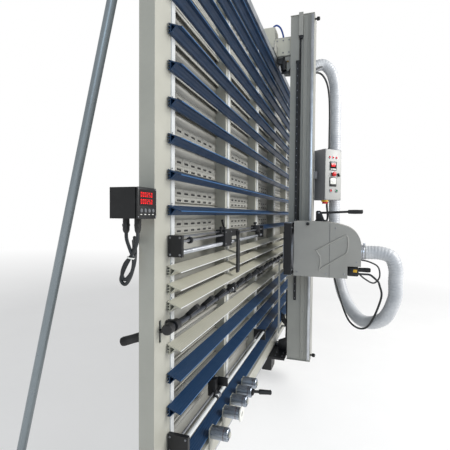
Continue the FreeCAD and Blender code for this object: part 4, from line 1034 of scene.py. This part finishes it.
def hose_looks():
    """The dust hose and the cables beside it; the long ones run in curves from the beam to the head's
    carriage and follow no body.
    """
    points = [(2020, 302, 2500), (2020, 302, 2570), (2033, 334, 2648), (2065, 412, 2679), (2090, 470, 2636),
              (2106, 505, 2550), (2115, 520, 2430), (2118, 522, 2300), (2120, 522, 1950), (2120, 524, 1500),
              (2070, 540, 1080), (1900, 610, 740), (1700, 740, 590), (1560, 880, 640), (1502, 950, 800),
              (1500, 955, 930), (1500, 955, 1010), (1500, 926, 1091), (1500, 856, 1119), (1500, 752, 1120)]
    hose = tube("dust_hose", points, 46, "hose", None, 4.0, 40, rib_wave)
    bend(hose)
    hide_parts("exhaust_hose")
    lathe("collar_band", at(2020, 302, 2520), UP_V, collar(13.5, 46, 50.5, 1.5), "steel", "saw_beam", 48)
    long_run = [(1962, 345, 2600), (2050, 425, 2655), (2135, 500, 2590), (2178, 524, 2400), (2180, 524, 1950),
                (2176, 520, 1560), (2122, 460, 1300), (2000, 488, 1080), (1850, 570, 780), (1700, 662, 570),
                (1570, 780, 572), (1495, 865, 800), (1485, 850, 915)]
    cable = tube("head_cable", long_run, 7, "cable", None, 7, 12)
    bend(cable)
    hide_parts("head_cables")
    short_run = [(1485, 850, 915), (1485, 820, 945), (1485, 790, 966), (1485, 750, 968), (1485, 712, 968)]
    end = tube("switch_cable", short_run, 7, "cable", None, 5, 12)
    bend(end)
    feed = [(1960, 481, 1918), (1964, 481, 1960), (1985, 480, 2080), (2016, 478, 2250), (2038, 470, 2400),
            (2044, 450, 2510)]
    feed += [(2026, 410, 2580), (1992, 360, 2590), (1958, 330, 2540)]
    tube("box_feed", feed, 8, "cable", "saw_beam", 7, 14)
    lathe("box_feed_gland", at(1960, 481, 1919), UP_V, [(0, 14), (9, 14), (10, 12), (22, 11), (26, 8)],
          "plastic", "saw_beam", 20)
    loop = [(1560, 726, 1060), (1572, 790, 1046), (1590, 850, 1010), (1578, 860, 940), (1546, 820, 900),
            (1520, 760, 930), (1512, 712, 972)]
    tube("handle_loop", loop, 5.5, "cable", "turret", 6, 12)


def round_edges(node, width, segments=2):
    """Rounds the sharp edges of a CAD node by a width in millimetres, without touching its mesh."""
    edge = CAD[node].modifiers.new("edge", "BEVEL")
    edge.width = width / 1000
    edge.segments = segments
    edge.limit_method = "ANGLE"
    edge.angle_limit = math.radians(50)


def edges_rounded():
    """Rolled and folded edges on the welded and cast parts."""
    widths = {"end_posts": 3, "inner_posts": 3, "cross_beams": 2.5, "floor_feet": 2.5, "control_box": 2,
              "beam_column": 2, "upper_stop_carriage": 1.2, "lower_stop_carriage": 1.2,
              "stop_rail_brackets": 1.2, "readout_case": 1.5, "saw_arm": 1.5, "bottom_carriage": 1.5}
    for node, width in widths.items():
        round_edges(node, width)


frame_details()
roller_looks()
stop_rail_looks()
support_looks()
readout_looks()
column_looks()
trolley_looks()
control_looks()
meter_looks()
button_looks()
box_fittings()
cover_looks()
lever_bracket_looks()
head_looks()
hose_looks()
edges_rounded()


# ---- studio


def studio():
    """Soft key and cool fill over a pale floor that fades to white with distance."""
    scene = bpy.context.scene
    backdrop = bpy.data.worlds.new("studio_world")
    scene.world = backdrop
    backdrop.use_nodes = True
    nodes, links = backdrop.node_tree.nodes, backdrop.node_tree.links
    ambient = nodes["Background"]
    ambient.inputs["Color"].default_value = (0.98, 0.99, 1, 1)
    ambient.inputs["Strength"].default_value = 0.42
    seen = nodes.new("ShaderNodeBackground")
    seen.inputs["Color"].default_value = (1, 1, 1, 1)
    chosen = nodes.new("ShaderNodeMixShader")
    links.new(nodes.new("ShaderNodeLightPath").outputs["Is Camera Ray"], chosen.inputs[0])
    links.new(ambient.outputs[0], chosen.inputs[1])
    links.new(seen.outputs[0], chosen.inputs[2])
    links.new(chosen.outputs[0], nodes["World Output"].inputs["Surface"])
    bpy.ops.mesh.primitive_plane_add(size=60, location=(2, 0, 0))
    floor = bpy.context.object
    floor.name = "floor"
    mat, nodes, links, shader = new_material("floor_paper")
    tone = remap(nodes, links, noise(nodes, links, 1.5, 3), 0.92, 0.97)
    links.new(tone, shader.inputs["Base Color"])
    shader.inputs["Roughness"].default_value = 0.9
    distance = nodes.new("ShaderNodeVectorMath")
    distance.operation = "LENGTH"
    links.new(nodes.new("ShaderNodeTexCoord").outputs["Object"], distance.inputs[0])
    white = nodes.new("ShaderNodeEmission")
    blend = nodes.new("ShaderNodeMixShader")
    links.new(remap(nodes, links, distance.outputs["Value"], 0.45, 1.0, 3.0, 7.0), blend.inputs[0])
    links.new(shader.outputs[0], blend.inputs[1])
    links.new(white.outputs[0], blend.inputs[2])
    links.new(blend.outputs[0], nodes["Material Output"].inputs["Surface"])
    floor.data.materials.append(mat)
    for name, place, aim, size, power, tint in (
        ("key", (2.0, -6.0, 5.2), (2.2, 0.0, 1.2), 4.0, 560, (1.0, 0.99, 0.97)),
        ("fill", (-5.0, -1.5, 3.6), (1.5, 0.0, 1.2), 3.0, 85, (0.66, 0.83, 1.0)),
    ):
        lamp = bpy.data.lights.new(name, "AREA")
        lamp.size = size
        lamp.energy = power
        lamp.color = tint
        holder = bpy.data.objects.new(name, lamp)
        holder.location = place
        holder.rotation_euler = (Vector(aim) - Vector(place)).to_track_quat("-Z", "Y").to_euler()
        scene.collection.objects.link(holder)
    scene.view_settings.view_transform = "Standard"


def camera():
    """A lens at the left end of the machine, looking along the frame and slightly down."""
    lens = bpy.data.cameras.new("camera")
    lens.lens = 29.2
    lens.clip_start, lens.clip_end = 0.05, 100
    holder = bpy.data.objects.new("camera", lens)
    heading, pitch, roll = (math.radians(angle) for angle in (-71.467, 88.315, 0.438))
    turn = Matrix.Rotation(heading, 4, "Z") @ Matrix.Rotation(pitch, 4, "X") @ Matrix.Rotation(roll, 4, "Z")
    holder.matrix_world = Matrix.Translation(world(-1234, 636, 1380)) @ LEAN @ turn
    bpy.context.scene.collection.objects.link(holder)
    bpy.context.scene.camera = holder


studio()
camera()
